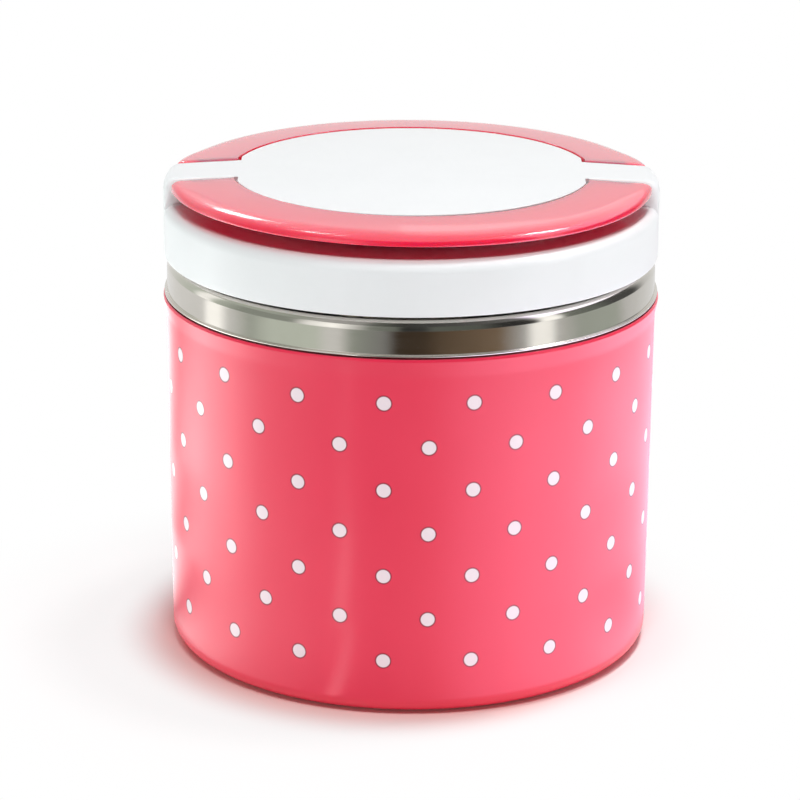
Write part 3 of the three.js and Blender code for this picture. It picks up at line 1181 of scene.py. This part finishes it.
@dataclass
class Lid:
    """The white cover with its disc and crossbar, and the liner, foam and gasket under it."""

    assembly: Assembly
    wall: float = 2.2
    floor_top: float = 129.7
    floor: float = 2.2
    shoulder: float = 3.3
    disc_radius: float = 50.8
    disc_wall: float = 2.4
    disc_round: float = 0.3
    boss_wall: float = 6.0
    rib_inner: float = 51.3
    rib_outer: float = 52.9
    rib_depth: float = 4.6
    bar_half: float = 9.7
    bar_slope: float = 0.9
    bar_end_round: float = 3.8
    bar_edge: float = 0.35
    bar_end_edge: float = 1.8
    lug_count: int = 4
    lug_span: float = 24.0
    lug_tip: float = 66.1
    lug_low: float = 116.2
    lug_height: float = 2.0
    hinge_flat: float = 48.6
    hinge_y: float = 12.05
    hinge_z: float = 135.95
    flat_width: float = 6.4
    flat_past_disc: float = 0.8
    flat_over_top: float = 2.0
    bore: float = 1.1
    bore_inset: float = 4.5
    bore_length: float = 7.0
    bore_edge: float = 0.1
    soft_from: float = -0.6
    soft_rise: float = 2.5
    hair: float = 0.012
    liner_neck: float = 55.2
    liner_inner: float = 53.2
    liner_wall: float = 2.0
    liner_seat: float = 123.7
    foam_gap: float = 0.4
    foam_step: float = 127.2
    gasket_inner: float = 55.5

    def __post_init__(self) -> None:
        """Read the cover's reach from the frame."""
        low, high = node_box("lid_cover")
        self.edge = low.z
        self.top = high.z
        self.radius = high.x

    def build(self) -> None:
        """Build and dress the pieces."""
        self.cover()
        self.liner()
        self.foam()
        self.gasket()

    def cover(self) -> None:
        """The cover: turned body, crossbar ends, lugs, and the flats and holes for the hinges."""
        cover = self.assembly.turn("lid_cover", self.cover_section(), closed=False)
        for side in Side:
            combine(cover, self.bar_end(side), Joining.ADD)
        root = self.radius - self.wall / 2
        high = self.lug_low + self.lug_height
        for i in range(self.lug_count):
            start = 360 / self.lug_count * (i + 0.5) - self.lug_span / 2
            lug = arched_block("lug", self.lug_tip, root, self.lug_low, high, start, self.lug_span)
            combine(cover, lug, Joining.ADD)
        for side in Side:
            for facing in Facing:
                self.cut_hinge(cover, side, facing)
        self.assembly.dress(cover, "lid_cover")

    def cover_section(self) -> list[Corner]:
        """The section of the turned body.

        Returns:
            Its corners, from the disc's underside round to its top.
        """
        underside = self.floor_top - self.floor
        boss = self.disc_radius - self.boss_wall
        skirt = self.radius - self.wall
        rib_foot = underside - self.rib_depth
        return [
            Corner(0, self.top - self.disc_wall),
            Corner(boss, self.top - self.disc_wall, 0.8),
            Corner(boss, underside, 0.6),
            Corner(self.rib_inner, underside, 0.4),
            Corner(self.rib_inner, rib_foot, 0.3),
            Corner(self.rib_outer, rib_foot, 0.3),
            Corner(self.rib_outer, underside, 0.4),
            Corner(skirt, underside, 1.0),
            Corner(skirt, self.edge, 0.3),
            Corner(self.radius, self.edge, 0.5),
            Corner(self.radius, self.floor_top, self.shoulder),
            Corner(self.disc_radius, self.floor_top, 0.5),
            Corner(self.disc_radius, self.top, self.disc_round),
            Corner(0, self.top),
        ]

    def bar_end(self, side: Side) -> bpy.types.Object:
        """One end of the crossbar: a bridge over the channel that follows the lid's round side.

        Args:
            side: which end.

        Returns:
            The end as a closed solid that reaches into the turned body.
        """
        path = rounded(self.bar_line(), closed=False)
        vertices: list[Vector] = []
        rows: list[list[int]] = []
        for k, point in enumerate(path):
            ahead = path[min(k + 1, len(path) - 1)] - path[max(k - 1, 0)]
            normal = Vector((-ahead.y, ahead.x)).normalized()
            foot = self.bar_foot(point)
            edge = self.bar_edge + (self.bar_end_edge - self.bar_edge) * self.bar_softness(point)
            rib = [self.bar_point(side, foot, -self.bar_half * MM)]
            for y, inset in self.across_bar(edge):
                rib.append(self.bar_point(side, point - normal * inset, y))
            rib.append(self.bar_point(side, foot, self.bar_half * MM))
            rows.append(list(range(len(vertices), len(vertices) + len(rib))))
            vertices.extend(rib)
        faces = bridged(rows, closed=False)
        faces.extend([rows[0][::-1], rows[-1]])
        return mesh_object("bar_end", vertices, faces)

    @property
    def bar_deep(self) -> float:
        """How deep the bar's foot reaches into the channel's floor: its height in millimetres."""
        return self.floor_top - self.floor / 2

    def bar_line(self) -> list[Corner]:
        """The bar's top seen from the front.

        Returns:
            Its corners, from the disc out and down the lid's side.
        """
        outer = self.radius - self.hair
        return [
            Corner(self.disc_radius - self.boss_wall / 2, self.top - self.hair),
            Corner(self.disc_radius, self.top - self.hair, 2),
            Corner(outer, self.top - self.bar_slope, self.bar_end_round),
            Corner(outer, self.bar_deep),
            Corner(outer, self.floor_top - self.shoulder),
        ]

    def bar_foot(self, point: Vector) -> Vector:
        """The point inside the lid's walls that a point of the bar's top stands on.

        Args:
            point: radius and height in metres.

        Returns:
            Radius and height in metres.
        """
        if point.y > self.bar_deep * MM + TINY:
            return Vector((min(point.x, (self.radius - 2 * self.wall) * MM), self.bar_deep * MM))
        return Vector(((self.radius - self.wall / 2) * MM, point.y))

    def bar_softness(self, point: Vector) -> float:
        """How far the bar's edges are rounded off at a point: 0 by the disc and at its foot, 1 at its end.

        Args:
            point: radius and height in metres.

        Returns:
            The share.
        """
        out = (point.x / MM - self.disc_radius) / (self.radius - self.disc_radius - 1)
        up = (point.y / MM - self.floor_top - self.soft_from) / self.soft_rise
        return min(1.0, max(0.0, out)) ** 3 * min(1.0, max(0.0, up))

    def across_bar(self, edge: float) -> list[tuple[float, float]]:
        """Places across the bar and how far its rounded edges drop there.

        Args:
            edge: the round of its edges in millimetres.

        Returns:
            Places and drops in metres.
        """
        half = self.bar_half * MM
        edge = edge * MM
        steps = 4
        places = []
        for k in range(steps + 1):
            angle = math.pi / 2 * k / steps
            places.append((-half + edge - edge * math.cos(angle), edge - edge * math.sin(angle)))
        flat = half - edge
        spans = 16
        places.extend((-flat + 2 * flat * k / spans, 0.0) for k in range(1, spans))
        places.extend((-y, inset) for y, inset in places[steps::-1])
        return places

    def bar_point(self, side: Side, point: Vector, y: float) -> Vector:
        """A point of the bar at a radius and height, at a place across it."""
        x = math.sqrt(point.x ** 2 - y ** 2)
        return Vector((side.value * x, y, point.y))

    def cut_hinge(self, cover: bpy.types.Object, side: Side, facing: Facing) -> None:
        """Cut the flat beside a handle's end and the hole for its pin.

        Args:
            cover: the lid's cover.
            side: which end of the crossbar.
            facing: which handle.
        """
        x = side.value
        y = facing.value
        low = self.floor_top - self.hair
        high = self.top + self.flat_over_top
        near = Vector((x * self.hinge_flat, y * (self.bar_half - self.hair), low)) * MM
        outside = self.disc_radius + self.flat_past_disc
        far = Vector((x * outside, y * (self.bar_half + self.flat_width), high)) * MM
        combine(cover, box_between("flat", near, far), Joining.CUT)
        inner = self.hinge_flat - self.bore_inset
        start = inner if side is Side.RIGHT else -inner - self.bore_length
        place = Vector((start, y * self.hinge_y, self.hinge_z)) * MM
        combine(cover, rod("bore", self.bore, place, self.bore_length, self.bore_edge), Joining.CUT)

    def liner(self) -> None:
        """The plug that reaches into the bowl."""
        low, high = node_box("lid_liner")
        floor = low.z + self.liner_wall
        corners = [
            Corner(0, low.z),
            Corner(high.x, low.z, 2.0),
            Corner(high.x, self.liner_seat, 0.3),
            Corner(self.liner_neck, self.liner_seat, 0.1),
            Corner(self.liner_neck, high.z, 0.2),
            Corner(self.liner_inner, high.z, 0.2),
            Corner(self.liner_inner, floor, 0.6),
            Corner(0, floor),
        ]
        self.assembly.add_turned("lid_liner", corners, closed=False)

    def foam(self) -> None:
        """The foam between cover and liner."""
        low, high = node_box("lid_insulation")
        upper = self.disc_radius - self.boss_wall - self.foam_gap
        corners = [
            Corner(0, low.z),
            Corner(high.x, low.z, 0.5),
            Corner(high.x, self.foam_step, 0.4),
            Corner(upper, self.foam_step, 0.2),
            Corner(upper, high.z, 0.6),
            Corner(0, high.z),
        ]
        self.assembly.add_turned("lid_insulation", corners, closed=False)

    def gasket(self) -> None:
        """The sealing ring with its rounded edges."""
        low, high = node_box("lid_gasket")
        inner = self.gasket_inner
        corners = [
            Corner(inner, low.z, 0.7),
            Corner(high.x, low.z, 1.1),
            Corner(high.x, high.z, 1.1),
            Corner(inner, high.z, 0.7),
        ]
        self.assembly.add_turned("lid_gasket", corners, closed=True)


@dataclass
class Handles:
    """The two half-ring handles and the pins that they turn on."""

    assembly: Assembly
    inner: float = 51.25
    outer: float = 68.4
    under: float = 133.9
    top: float = 138.0
    slope: float = 1.1
    crown_width: float = 5.4
    crown_drop: float = 2.4
    end_crown_width: float = 2.4
    end_crown_drop: float = 1.4
    end_corner: float = 3.0
    under_round: float = 0.4
    inner_round: float = 0.25
    end_y: float = 10.0
    end_x: float = 49.6
    end_part: float = 0.25
    end_gap: float = 0.02
    end_length: float = 4.2
    crown_ease: float = 5.0
    ring_ease: float = 6.0
    pin: float = 0.9
    pin_start: float = 44.4
    pin_length: float = 16.2
    pin_edge: float = 0.2
    bore: float = 1.1
    bore_start: float = 48.0
    bore_length: float = 13.0
    bore_edge: float = 0.1
    front_sag: float = -0.37
    front_twist: float = -0.009
    stations: int = 120

    def build(self) -> None:
        """Build and dress the pieces."""
        front = self.half_ring("front_handle_fine")
        self.settle(front)
        back = self.half_ring("back_handle_fine")
        back.data.transform(Matrix.Rotation(math.pi, 4, "Z"))
        self.assembly.dress(front, "front_handle")
        self.assembly.dress(back, "back_handle")
        for facing in Facing:
            for side in Side:
                self.hinge_pin(facing, side)

    @property
    def half_thick(self) -> float:
        """Half the handle's thickness, which is the round of its ends, in millimetres."""
        return (self.top - self.under) / 2

    @property
    def middle(self) -> float:
        """The height of the handle's middle and its hinge, in millimetres."""
        return (self.top + self.under) / 2

    @property
    def hinge(self) -> float:
        """How far the hinge is from the middle of the crossbar, in millimetres."""
        return self.end_y + self.half_thick

    def section(self, ease: float) -> list[tuple[float, float]]:
        """The handle's section.

        Args:
            ease: 0 at the handle's ends, where its crown is tight, and 1 along its grip.

        Returns:
            Shares of the handle's width, and heights in millimetres.
        """
        width = self.outer - self.inner
        crown_width = self.end_crown_width + ease * (self.crown_width - self.end_crown_width)
        crown_drop = self.end_crown_drop + ease * (self.crown_drop - self.end_crown_drop)
        steps = 12
        crown = []
        for k in range(steps, -1, -1):
            angle = math.pi / 2 * k / steps
            r = self.outer - crown_width * (1 - math.sin(angle))
            flat = self.top - self.slope * (r - self.inner) / width
            crown.append(Corner(r, flat - crown_drop * (1 - math.cos(angle))))
        corners = [
            Corner(self.inner, self.under, self.inner_round),
            Corner(self.outer, self.under, self.under_round),
            *crown,
            Corner(self.inner, self.top, self.inner_round),
        ]
        points = rounded(corners, closed=True)
        return [((p.x / MM - self.inner) / width, p.y / MM) for p in points]

    def half_ring(self, name: str) -> bpy.types.Object:
        """A front handle, lofted from one end to the other.

        Args:
            name: the object's name.

        Returns:
            The handle.
        """
        middle = self.middle
        vertices: list[Vector] = []
        rows: list[list[int]] = []
        for depth, fan, side in self.station_places():
            squeeze = self.end_squeeze(depth)
            ease = min(1.0, self.crown_ease * fan)
            section = self.section(ease * ease * (3 - 2 * ease))
            rows.append(list(range(len(vertices), len(vertices) + len(section))))
            for share, z in section:
                x, y = self.plan_point(depth, fan, share)
                vertices.append(Vector((side.value * x, y, middle + (z - middle) * squeeze)) * MM)
        faces = bridged(rows, closed=False)
        faces.extend([rows[0][::-1], rows[-1]])
        handle = mesh_object(name, vertices, faces)
        for side in Side:
            start = self.bore_start if side is Side.RIGHT else -self.bore_start - self.bore_length
            place = Vector((start, -self.hinge, middle)) * MM
            bore = rod("bore", self.bore, place, self.bore_length, self.bore_edge)
            combine(handle, bore, Joining.CUT)
        return handle

    def station_places(self) -> list[tuple[float, float, Side]]:
        """Cuts through the handle: distance from its end, how far they fan out, and the side.

        Returns:
            Distances in millimetres, shares from 0 at the ends to 1 at the middle, and sides.
        """
        half = self.stations // 2
        shares = [k / half for k in range(half + 1)]
        cuts = [(share, Side.LEFT) for share in shares]
        cuts.extend((share, Side.RIGHT) for share in shares[-2::-1])
        places = []
        for share, side in cuts:
            end_share = min(1.0, share / self.end_part)
            depth = self.end_gap + self.end_length * end_share ** 2
            fan = max(0.0, (share - self.end_part) / (1 - self.end_part))
            places.append((depth, fan, side))
        return places

    def end_squeeze(self, depth: float) -> float:
        """How thick the section is at a distance from the handle's half-round end, as a share."""
        gone = max(0.0, 1 - depth / self.half_thick)
        return math.sqrt(1 - gone ** 2)

    def plan_point(self, depth: float, fan: float, share: float) -> tuple[float, float]:
        """A point of the handle's right half seen from above.

        Args:
            depth: distance of the cut from the handle's end in millimetres.
            fan: 0 where the cut runs along X, 1 where it runs along Y.
            share: share of the handle's width, from its inner edge.

        Returns:
            X and Y in millimetres.
        """
        line = self.end_y + depth
        inner = min(self.end_x, math.sqrt(self.inner ** 2 - line ** 2))
        to_go = max(0.0, self.end_corner - depth)
        cut = self.end_corner - math.sqrt(self.end_corner ** 2 - to_go ** 2)
        outer = math.sqrt(self.outer ** 2 - line ** 2) - cut
        x = inner + share * (outer - inner)
        start = math.atan2(line, x)
        radius = math.hypot(x, line)
        even = self.inner + share * (self.outer - self.inner)
        radius += (even - radius) * min(1.0, self.ring_ease * fan)
        angle = start + fan * (math.pi / 2 - start)
        return radius * math.cos(angle), -radius * math.sin(angle)

    def settle(self, handle: bpy.types.Object) -> None:
        """Let the front handle hang a little lower away from its hinge, more so on the right.

        Args:
            handle: the front handle.
        """
        grip = self.outer - self.hinge
        for vertex in handle.data.vertices:
            reach = (-vertex.co.y / MM - self.hinge) / grip
            if reach > 0:
                drop = math.sin(math.pi / 2 * min(1.0, reach))
                vertex.co.z += drop * (self.front_sag + self.front_twist * vertex.co.x / MM) * MM

    def hinge_pin(self, facing: Facing, side: Side) -> None:
        """A steel pin with rounded ends.

        Args:
            facing: which handle turns on it.
            side: which end of the handle.
        """
        node = f"hinge_pin_{facing.name.lower()}_{side.name.lower()}"
        start = self.pin_start if side is Side.RIGHT else -self.pin_start - self.pin_length
        place = Vector((start, facing.value * self.hinge, self.middle)) * MM
        pin = rod(node + "_fine", self.pin, place, self.pin_length, self.pin_edge)
        self.assembly.dress(pin, node)


def direction(azimuth: float, elevation: float) -> Vector:
    """Point a way.

    Args:
        azimuth: degrees from the front, positive to the right.
        elevation: degrees up from level.

    Returns:
        A vector of length 1.
    """
    turn = math.radians(azimuth)
    rise = math.radians(elevation)
    flat = math.cos(rise)
    return Vector((math.sin(turn) * flat, -math.cos(turn) * flat, math.sin(rise)))


@dataclass(frozen=True)
class Stop:
    """A place on a backdrop: degrees from the front, positive to the right, and the light there."""

    angle: float
    level: float
    tint: Colour = WHITE

    @property
    def share(self) -> float:
        """The angle as a share of the full turn."""
        return 0.5 + self.angle / 360

    @property
    def light(self) -> tuple[float, float, float, float]:
        """The light as a colour."""
        return *(self.level * c for c in self.tint), 1.0


def only_in_reflections(sheet: bpy.types.Object) -> None:
    """Hide a sheet from the camera and from all but glossy rays.

    Args:
        sheet: the sheet.
    """
    sheet.visible_camera = False
    sheet.visible_diffuse = False
    sheet.visible_shadow = False
    sheet.visible_transmission = False


@dataclass(frozen=True)
class Glint:
    """A bright pane that shows only as a small highlight, placed by its angles in degrees."""

    name: str
    azimuth: float
    elevation: float
    width: float
    height: float
    level: float
    distance: float = 0.85

    def build(self) -> None:
        """Build the pane and its glow."""
        pane = flat_sheet("glint_" + self.name, self.width, self.height)
        place = direction(self.azimuth, self.elevation) * self.distance
        aim = place.to_track_quat("Z", "Y").to_matrix().to_4x4()
        pane.matrix_world = Matrix.Translation(place) @ aim
        graph = Paint("glint_" + self.name)
        graph.shine(WHITE, graph.math("MULTIPLY", graph.shown(), self.level))
        pane.data.materials.append(graph.material)
        only_in_reflections(pane)


@dataclass(frozen=True)
class Backdrop:
    """A strip round the box that shows only in reflections, from one ring to another.

    Rings are a radius and a height in metres. A narrowing below 1 draws all the stops nearer to the front
    by that factor, as the box's round side needs for a ring close to it.
    """

    name: str
    near: tuple[float, float]
    far: tuple[float, float]
    stops: Sequence[Stop]
    narrowing: float = 1.0
    steps: int = 180

    def build(self) -> None:
        """Build the strip and its glow."""
        vertices = []
        rows = []
        for k in range(self.steps):
            angle = 2 * math.pi * k / self.steps
            rows.append([len(vertices), len(vertices) + 1])
            for r, z in (self.near, self.far):
                vertices.append(Vector((r * math.sin(angle), -r * math.cos(angle), z)))
        faces = bridged(rows, closed=True, ring=False)
        sheet = mesh_object("backdrop_" + self.name, vertices, faces)
        sheet.data.materials.append(self.glow())
        only_in_reflections(sheet)

    def glow(self) -> bpy.types.Material:
        """A material whose light changes round the box.

        Returns:
            The material.
        """
        graph = Paint("backdrop_" + self.name)
        parts = graph.add("ShaderNodeSeparateXYZ", {0: graph.place()}).outputs
        turn = graph.math("ARCTAN2", parts[0], graph.math("MULTIPLY", parts[1], -1.0))
        share = graph.math("MULTIPLY_ADD", turn, 0.5 / (math.pi * self.narrowing), 0.5)
        ramp = graph.add("ShaderNodeValToRGB", {0: share})
        elements = ramp.color_ramp.elements
        for element, stop in zip(elements, (self.stops[0], self.stops[-1])):
            element.position = stop.share
            element.color = stop.light
        for stop in self.stops[1:-1]:
            elements.new(stop.share).color = stop.light
        graph.shine(ramp.outputs[0], graph.shown())
        return graph.material


@dataclass(frozen=True)
class SoftBox:
    """An oval soft lamp that looks at the box, placed by its angles in degrees."""

    name: str
    azimuth: float
    elevation: float
    watts: float
    colour: Colour
    size: float
    tall: float
    distance: float = 1.3

    def build(self, target: Vector) -> None:
        """Build the lamp, which reflections don't show.

        Args:
            target: the point that it looks at.
        """
        data = bpy.data.lights.new(self.name, "AREA")
        data.shape = "ELLIPSE"
        data.size = self.size
        data.size_y = self.tall
        data.energy = self.watts
        data.color = self.colour
        lamp = bpy.data.objects.new(self.name, data)
        bpy.context.scene.collection.objects.link(lamp)
        place = direction(self.azimuth, self.elevation) * self.distance
        lamp.location = target + place
        lamp.rotation_euler = (-place).to_track_quat("-Z", "Y").to_euler()
        lamp.visible_glossy = False


@dataclass
class Studio:
    """Floor, light and camera."""

    target: Vector = field(default_factory=lambda: Vector((-2.921, 0, 69.215)) * MM)
    distance: float = 984.02 * MM
    elevation: float = 17.834
    roll: float = 0.318
    lens: float = 153.17
    sensor: float = 36.0
    fill: float = 0.01
    floor_colour: Colour = (0.96, 0.96, 0.96)
    floor_shade: Colour = (0.9504, 0.9504, 0.9504)
    floor_clouds: float = 3.0
    floor_size: float = 8.0
    floor_level: float = -0.2 * MM
    floor_roughness: float = 0.9
    low_elevation: float = -3.3
    low_size: float = 0.4
    low_tall: float = 0.08
    low_distance: float = 0.42
    ring_level: float = 0.6 * MM
    wall_foot: float = 1.0 * MM
    wall_radius: float = 0.95
    # Painted shade and painted pink bounce light on the floor round the box's foot, centred a little to the
    # front left.
    painted_pink_shade: Colour = srgb(236, 152, 136)
    painted_shade_middle: Vector = field(default_factory=lambda: Vector((-9, -9, 0)) * MM)
    painted_shade_from: float = 0.06
    painted_shade_reach: float = 0.08
    painted_shade_depth: float = 0.45
    shadow_middle: Vector = field(default_factory=lambda: Vector((-20, -6, 0)) * MM)
    contact: float = 0.066
    shadow_reach: float = 0.088
    white_from: float = 0.13
    fade: float = 0.8

    def build(self) -> None:
        """Set up the studio."""
        self.camera()
        self.floor()
        self.world()
        self.lamps()
        self.backdrops()
        bpy.context.scene.view_settings.view_transform = "Standard"

    def camera(self) -> None:
        """The camera at the photograph's angle."""
        data = bpy.data.cameras.new("camera")
        data.lens = self.lens
        data.sensor_width = self.sensor
        data.clip_start = 0.05
        data.clip_end = 50
        camera = bpy.data.objects.new("camera", data)
        bpy.context.scene.collection.objects.link(camera)
        tilt = math.radians(self.elevation)
        eye = self.target + Vector((0, -math.cos(tilt), math.sin(tilt))) * self.distance
        roll = Matrix.Rotation(math.radians(self.roll), 4, "Z")
        aim = Matrix.Rotation(math.pi / 2 - tilt, 4, "X") @ roll
        camera.matrix_world = Matrix.Translation(eye) @ aim
        bpy.context.scene.camera = camera

    def floor(self) -> None:
        """A pale matt floor that keeps the shadow near the box and is plain white farther out."""
        floor = flat_sheet("floor", self.floor_size, self.floor_size, self.floor_level)
        graph = Paint("pale_floor")
        points = graph.place()
        base = graph.blend(graph.noise(points, self.floor_clouds), self.floor_colour, self.floor_shade)
        # Painted shade: the floor turns a darker pink towards the box's foot, standing in for its shadow
        # and the shell's bounced light.
        ahead = self.off(graph, points, self.painted_shade_middle)
        painted_shade_share = graph.spread(ahead, self.painted_shade_from, self.painted_shade_reach, self.painted_shade_depth, 0)
        base = graph.blend(painted_shade_share, base, self.painted_pink_shade)
        away = self.off(graph, points, Vector())
        beside = self.off(graph, points, self.shadow_middle)
        faded = graph.spread(away, self.contact, self.shadow_reach, 0, self.fade)
        gone = graph.spread(beside, self.shadow_reach, self.white_from, 0, 1 - self.fade)
        white = graph.math("MULTIPLY", graph.shown(), graph.math("ADD", faded, gone))
        graph.set(Base_Color=graph.blend(white, base, BLACK), Roughness=self.floor_roughness)
        graph.set(Specular_IOR_Level=0.0, Emission_Color=WHITE, Emission_Strength=white)
        floor.data.materials.append(graph.material)

    def off(self, graph: Graph, points: bpy.types.NodeSocket, middle: Vector) -> bpy.types.NodeSocket:
        """Distance of points from a place.

        Args:
            graph: the material's nodes.
            points: the points' socket.
            middle: the place in metres.

        Returns:
            The distance's socket.
        """
        inputs = {0: points, 1: middle}
        return graph.add("ShaderNodeVectorMath", inputs, operation="DISTANCE").outputs["Value"]

    def world(self) -> None:
        """White to look at and in reflections, and a faint fill as light."""
        world = bpy.data.worlds.new("studio")
        bpy.context.scene.world = world
        world.use_nodes = True
        world.cycles.sampling_method = "NONE"
        graph = Graph(world.node_tree)
        background = graph.nodes["Background"].inputs
        graph.feed(background["Strength"], graph.spread(graph.shown(), 0, 1, self.fill, 1))
        graph.feed(background["Color"], WHITE)

    def lamps(self) -> None:
        """A key lamp overhead, soft ones high in front, and low ones round the box near the floor."""
        left = (0.97, 1.0, 0.99)
        right = (0.98, 0.98, 1.0)
        boxes = [
            SoftBox("key", 110, 77, 7.4, WHITE, 0.2, 0.2),
            SoftBox("front_top", 0, 65, 5.4, WHITE, 0.3, 0.3),
            SoftBox("left_front", -50, 64, 2.0, left, 0.4, 0.4),
            SoftBox("right_front", 45, 64, 2.4, right, 0.4, 0.4),
            SoftBox("low_front", -25, -7, 0.14, left, self.low_size, 0.03, self.low_distance),
        ]
        low_lamps = (
            ("low_left_front", -68, 0.29, (0.95, 1.0, 0.98)),
            ("low_right_front", 42, 0.4, right),
            ("low_left", -105, 0.57, (0.91, 1.0, 0.98)),
            ("low_right", 100, 0.4, right),
            ("low_far_left", -145, 0.3, WHITE),
            ("low_far_right", 145, 0.22, WHITE),
        )
        for name, azimuth, watts, colour in low_lamps:
            shape = (self.low_size, self.low_tall, self.low_distance)
            boxes.append(SoftBox(name, azimuth, self.low_elevation, watts, colour, *shape))
        for box in boxes:
            box.build(self.target)

    def backdrops(self) -> None:
        """What reflections show: near rings on the floor for the shell, and far strips for the steel."""
        self.near_rings()
        self.far_strips()
        Glint("left", -151, 47, 0.12, 0.12, 13).build()
        Glint("right", 101, 60, 0.1, 0.16, 20).build()
        Glint("small", -113, 72, 0.03, 0.12, 26).build()

    def near_rings(self) -> None:
        """Three rings on the floor, each with its own light at the same angles."""
        violet = (0.96, 0.9, 1.12)
        levels = (
            (-150, (2.2, 2.0, 2.7), WHITE),
            (-128, (0.4, 0.6, 0.7), WHITE),
            (-104, (1.9, 2.6, 4.1), WHITE),
            (-82, (2.3, 2.8, 3.5), WHITE),
            (-64, (1.5, 1.5, 1.3), WHITE),
            (-46, (1.1, 1.1, 0.8), WHITE),
            (-31, (0.55, 0.55, 0.2), WHITE),
            (-26.5, (3.0, 4.2, 1.4), WHITE),
            (-23, (0.35, 0.35, 0.1), WHITE),
            (-10, (0.3, 0.35, 0.2), WHITE),
            (8, (0.6, 0.7, 0.5), WHITE),
            (24, (1.8, 1.9, 1.9), violet),
            (50, (2.8, 2.9, 3.2), violet),
            (85, (2.5, 2.7, 3.5), violet),
            (105, (1.7, 2.0, 2.7), violet),
            (122, (1.3, 1.6, 1.9), violet),
            (150, (1.4, 1.6, 1.4), violet),
        )
        rings = (("foot", 0.074, 0.12, 0.74), ("near", 0.12, 0.19, 0.9), ("middle", 0.19, 0.36, 1.0))
        for i, (name, near, far, narrowing) in enumerate(rings):
            stops = [Stop(angle, level[i], tint) for angle, level, tint in levels]
            Backdrop(name, (near, self.ring_level), (far, self.ring_level), stops, narrowing).build()

    def far_strips(self) -> None:
        """The far floor, the wall and the upper wall, with the bright and dark stripes that steel shows."""
        green = (0.92, 1.0, 0.9)
        violet = (0.96, 0.9, 1.12)
        brown = (1.0, 0.7, 0.46)
        floor = (
            Stop(-150, 0.85), Stop(-106, 0.75), Stop(-102, 1.35), Stop(-94, 1.35), Stop(-88, 0.72),
            Stop(-74, 0.45, green), Stop(-64, 0.64, green), Stop(-42, 0.66, green), Stop(-36, 0.75),
            Stop(-31, 0.75), Stop(-25, 0.36, green), Stop(-11, 0.24), Stop(-6, 0.05, brown),
            Stop(6, 0.06, brown), Stop(14, 0.12, brown), Stop(38, 0.2, brown), Stop(50, 0.45),
            Stop(55, 1.2), Stop(63, 1.2), Stop(67, 0.6), Stop(80, 0.42, green), Stop(103, 0.45, green),
            Stop(112, 0.6), Stop(130, 0.72), Stop(150, 0.8),
        )
        wall = (
            Stop(-150, 0.85), Stop(-116, 0.6, green), Stop(-110, 1.2), Stop(-103, 1.2),
            Stop(-98, 0.6, green), Stop(-82, 0.34, green), Stop(-54, 0.32, green), Stop(-47, 1.0),
            Stop(-34, 1.4), Stop(-26, 0.8), Stop(-18, 0.26, green), Stop(-6, 0.18, green),
            Stop(-4, 0.03), Stop(6, 0.05), Stop(10, 0.14, green), Stop(30, 0.12, green),
            Stop(40, 0.04), Stop(57, 0.03), Stop(60, 1.4), Stop(69, 1.4), Stop(72, 0.2, green),
            Stop(92, 0.16, green), Stop(102, 0.08), Stop(122, 0.08), Stop(132, 0.65), Stop(150, 0.85),
        )
        upper = (
            Stop(-150, 1.0), Stop(-110, 0.7), Stop(-96, 0.55, green), Stop(-54, 0.4, green),
            Stop(-46, 0.5), Stop(-26, 0.4), Stop(-18, 0.15, green), Stop(-4, 0.05), Stop(56, 0.15),
            Stop(64, 1.9, violet), Stop(150, 1.4),
        )
        far = self.wall_radius
        Backdrop("floor", (0.36, self.ring_level), (far, self.ring_level), floor).build()
        Backdrop("wall", (far, self.wall_foot), (far, 0.55), wall).build()
        Backdrop("upper_wall", (far, 0.55), (far, 1.7), upper).build()


def main() -> None:
    """Build the lunch box piece by piece, then the studio round it."""
    logging.basicConfig(level=logging.INFO, format="%(name)s: %(message)s")
    assembly = Assembly(Finishes())
    for group in (Shell(assembly), SteelLiner(assembly), Lid(assembly), Handles(assembly)):
        group.build()
    Studio().build()


if __name__ == "__main__":
    main()
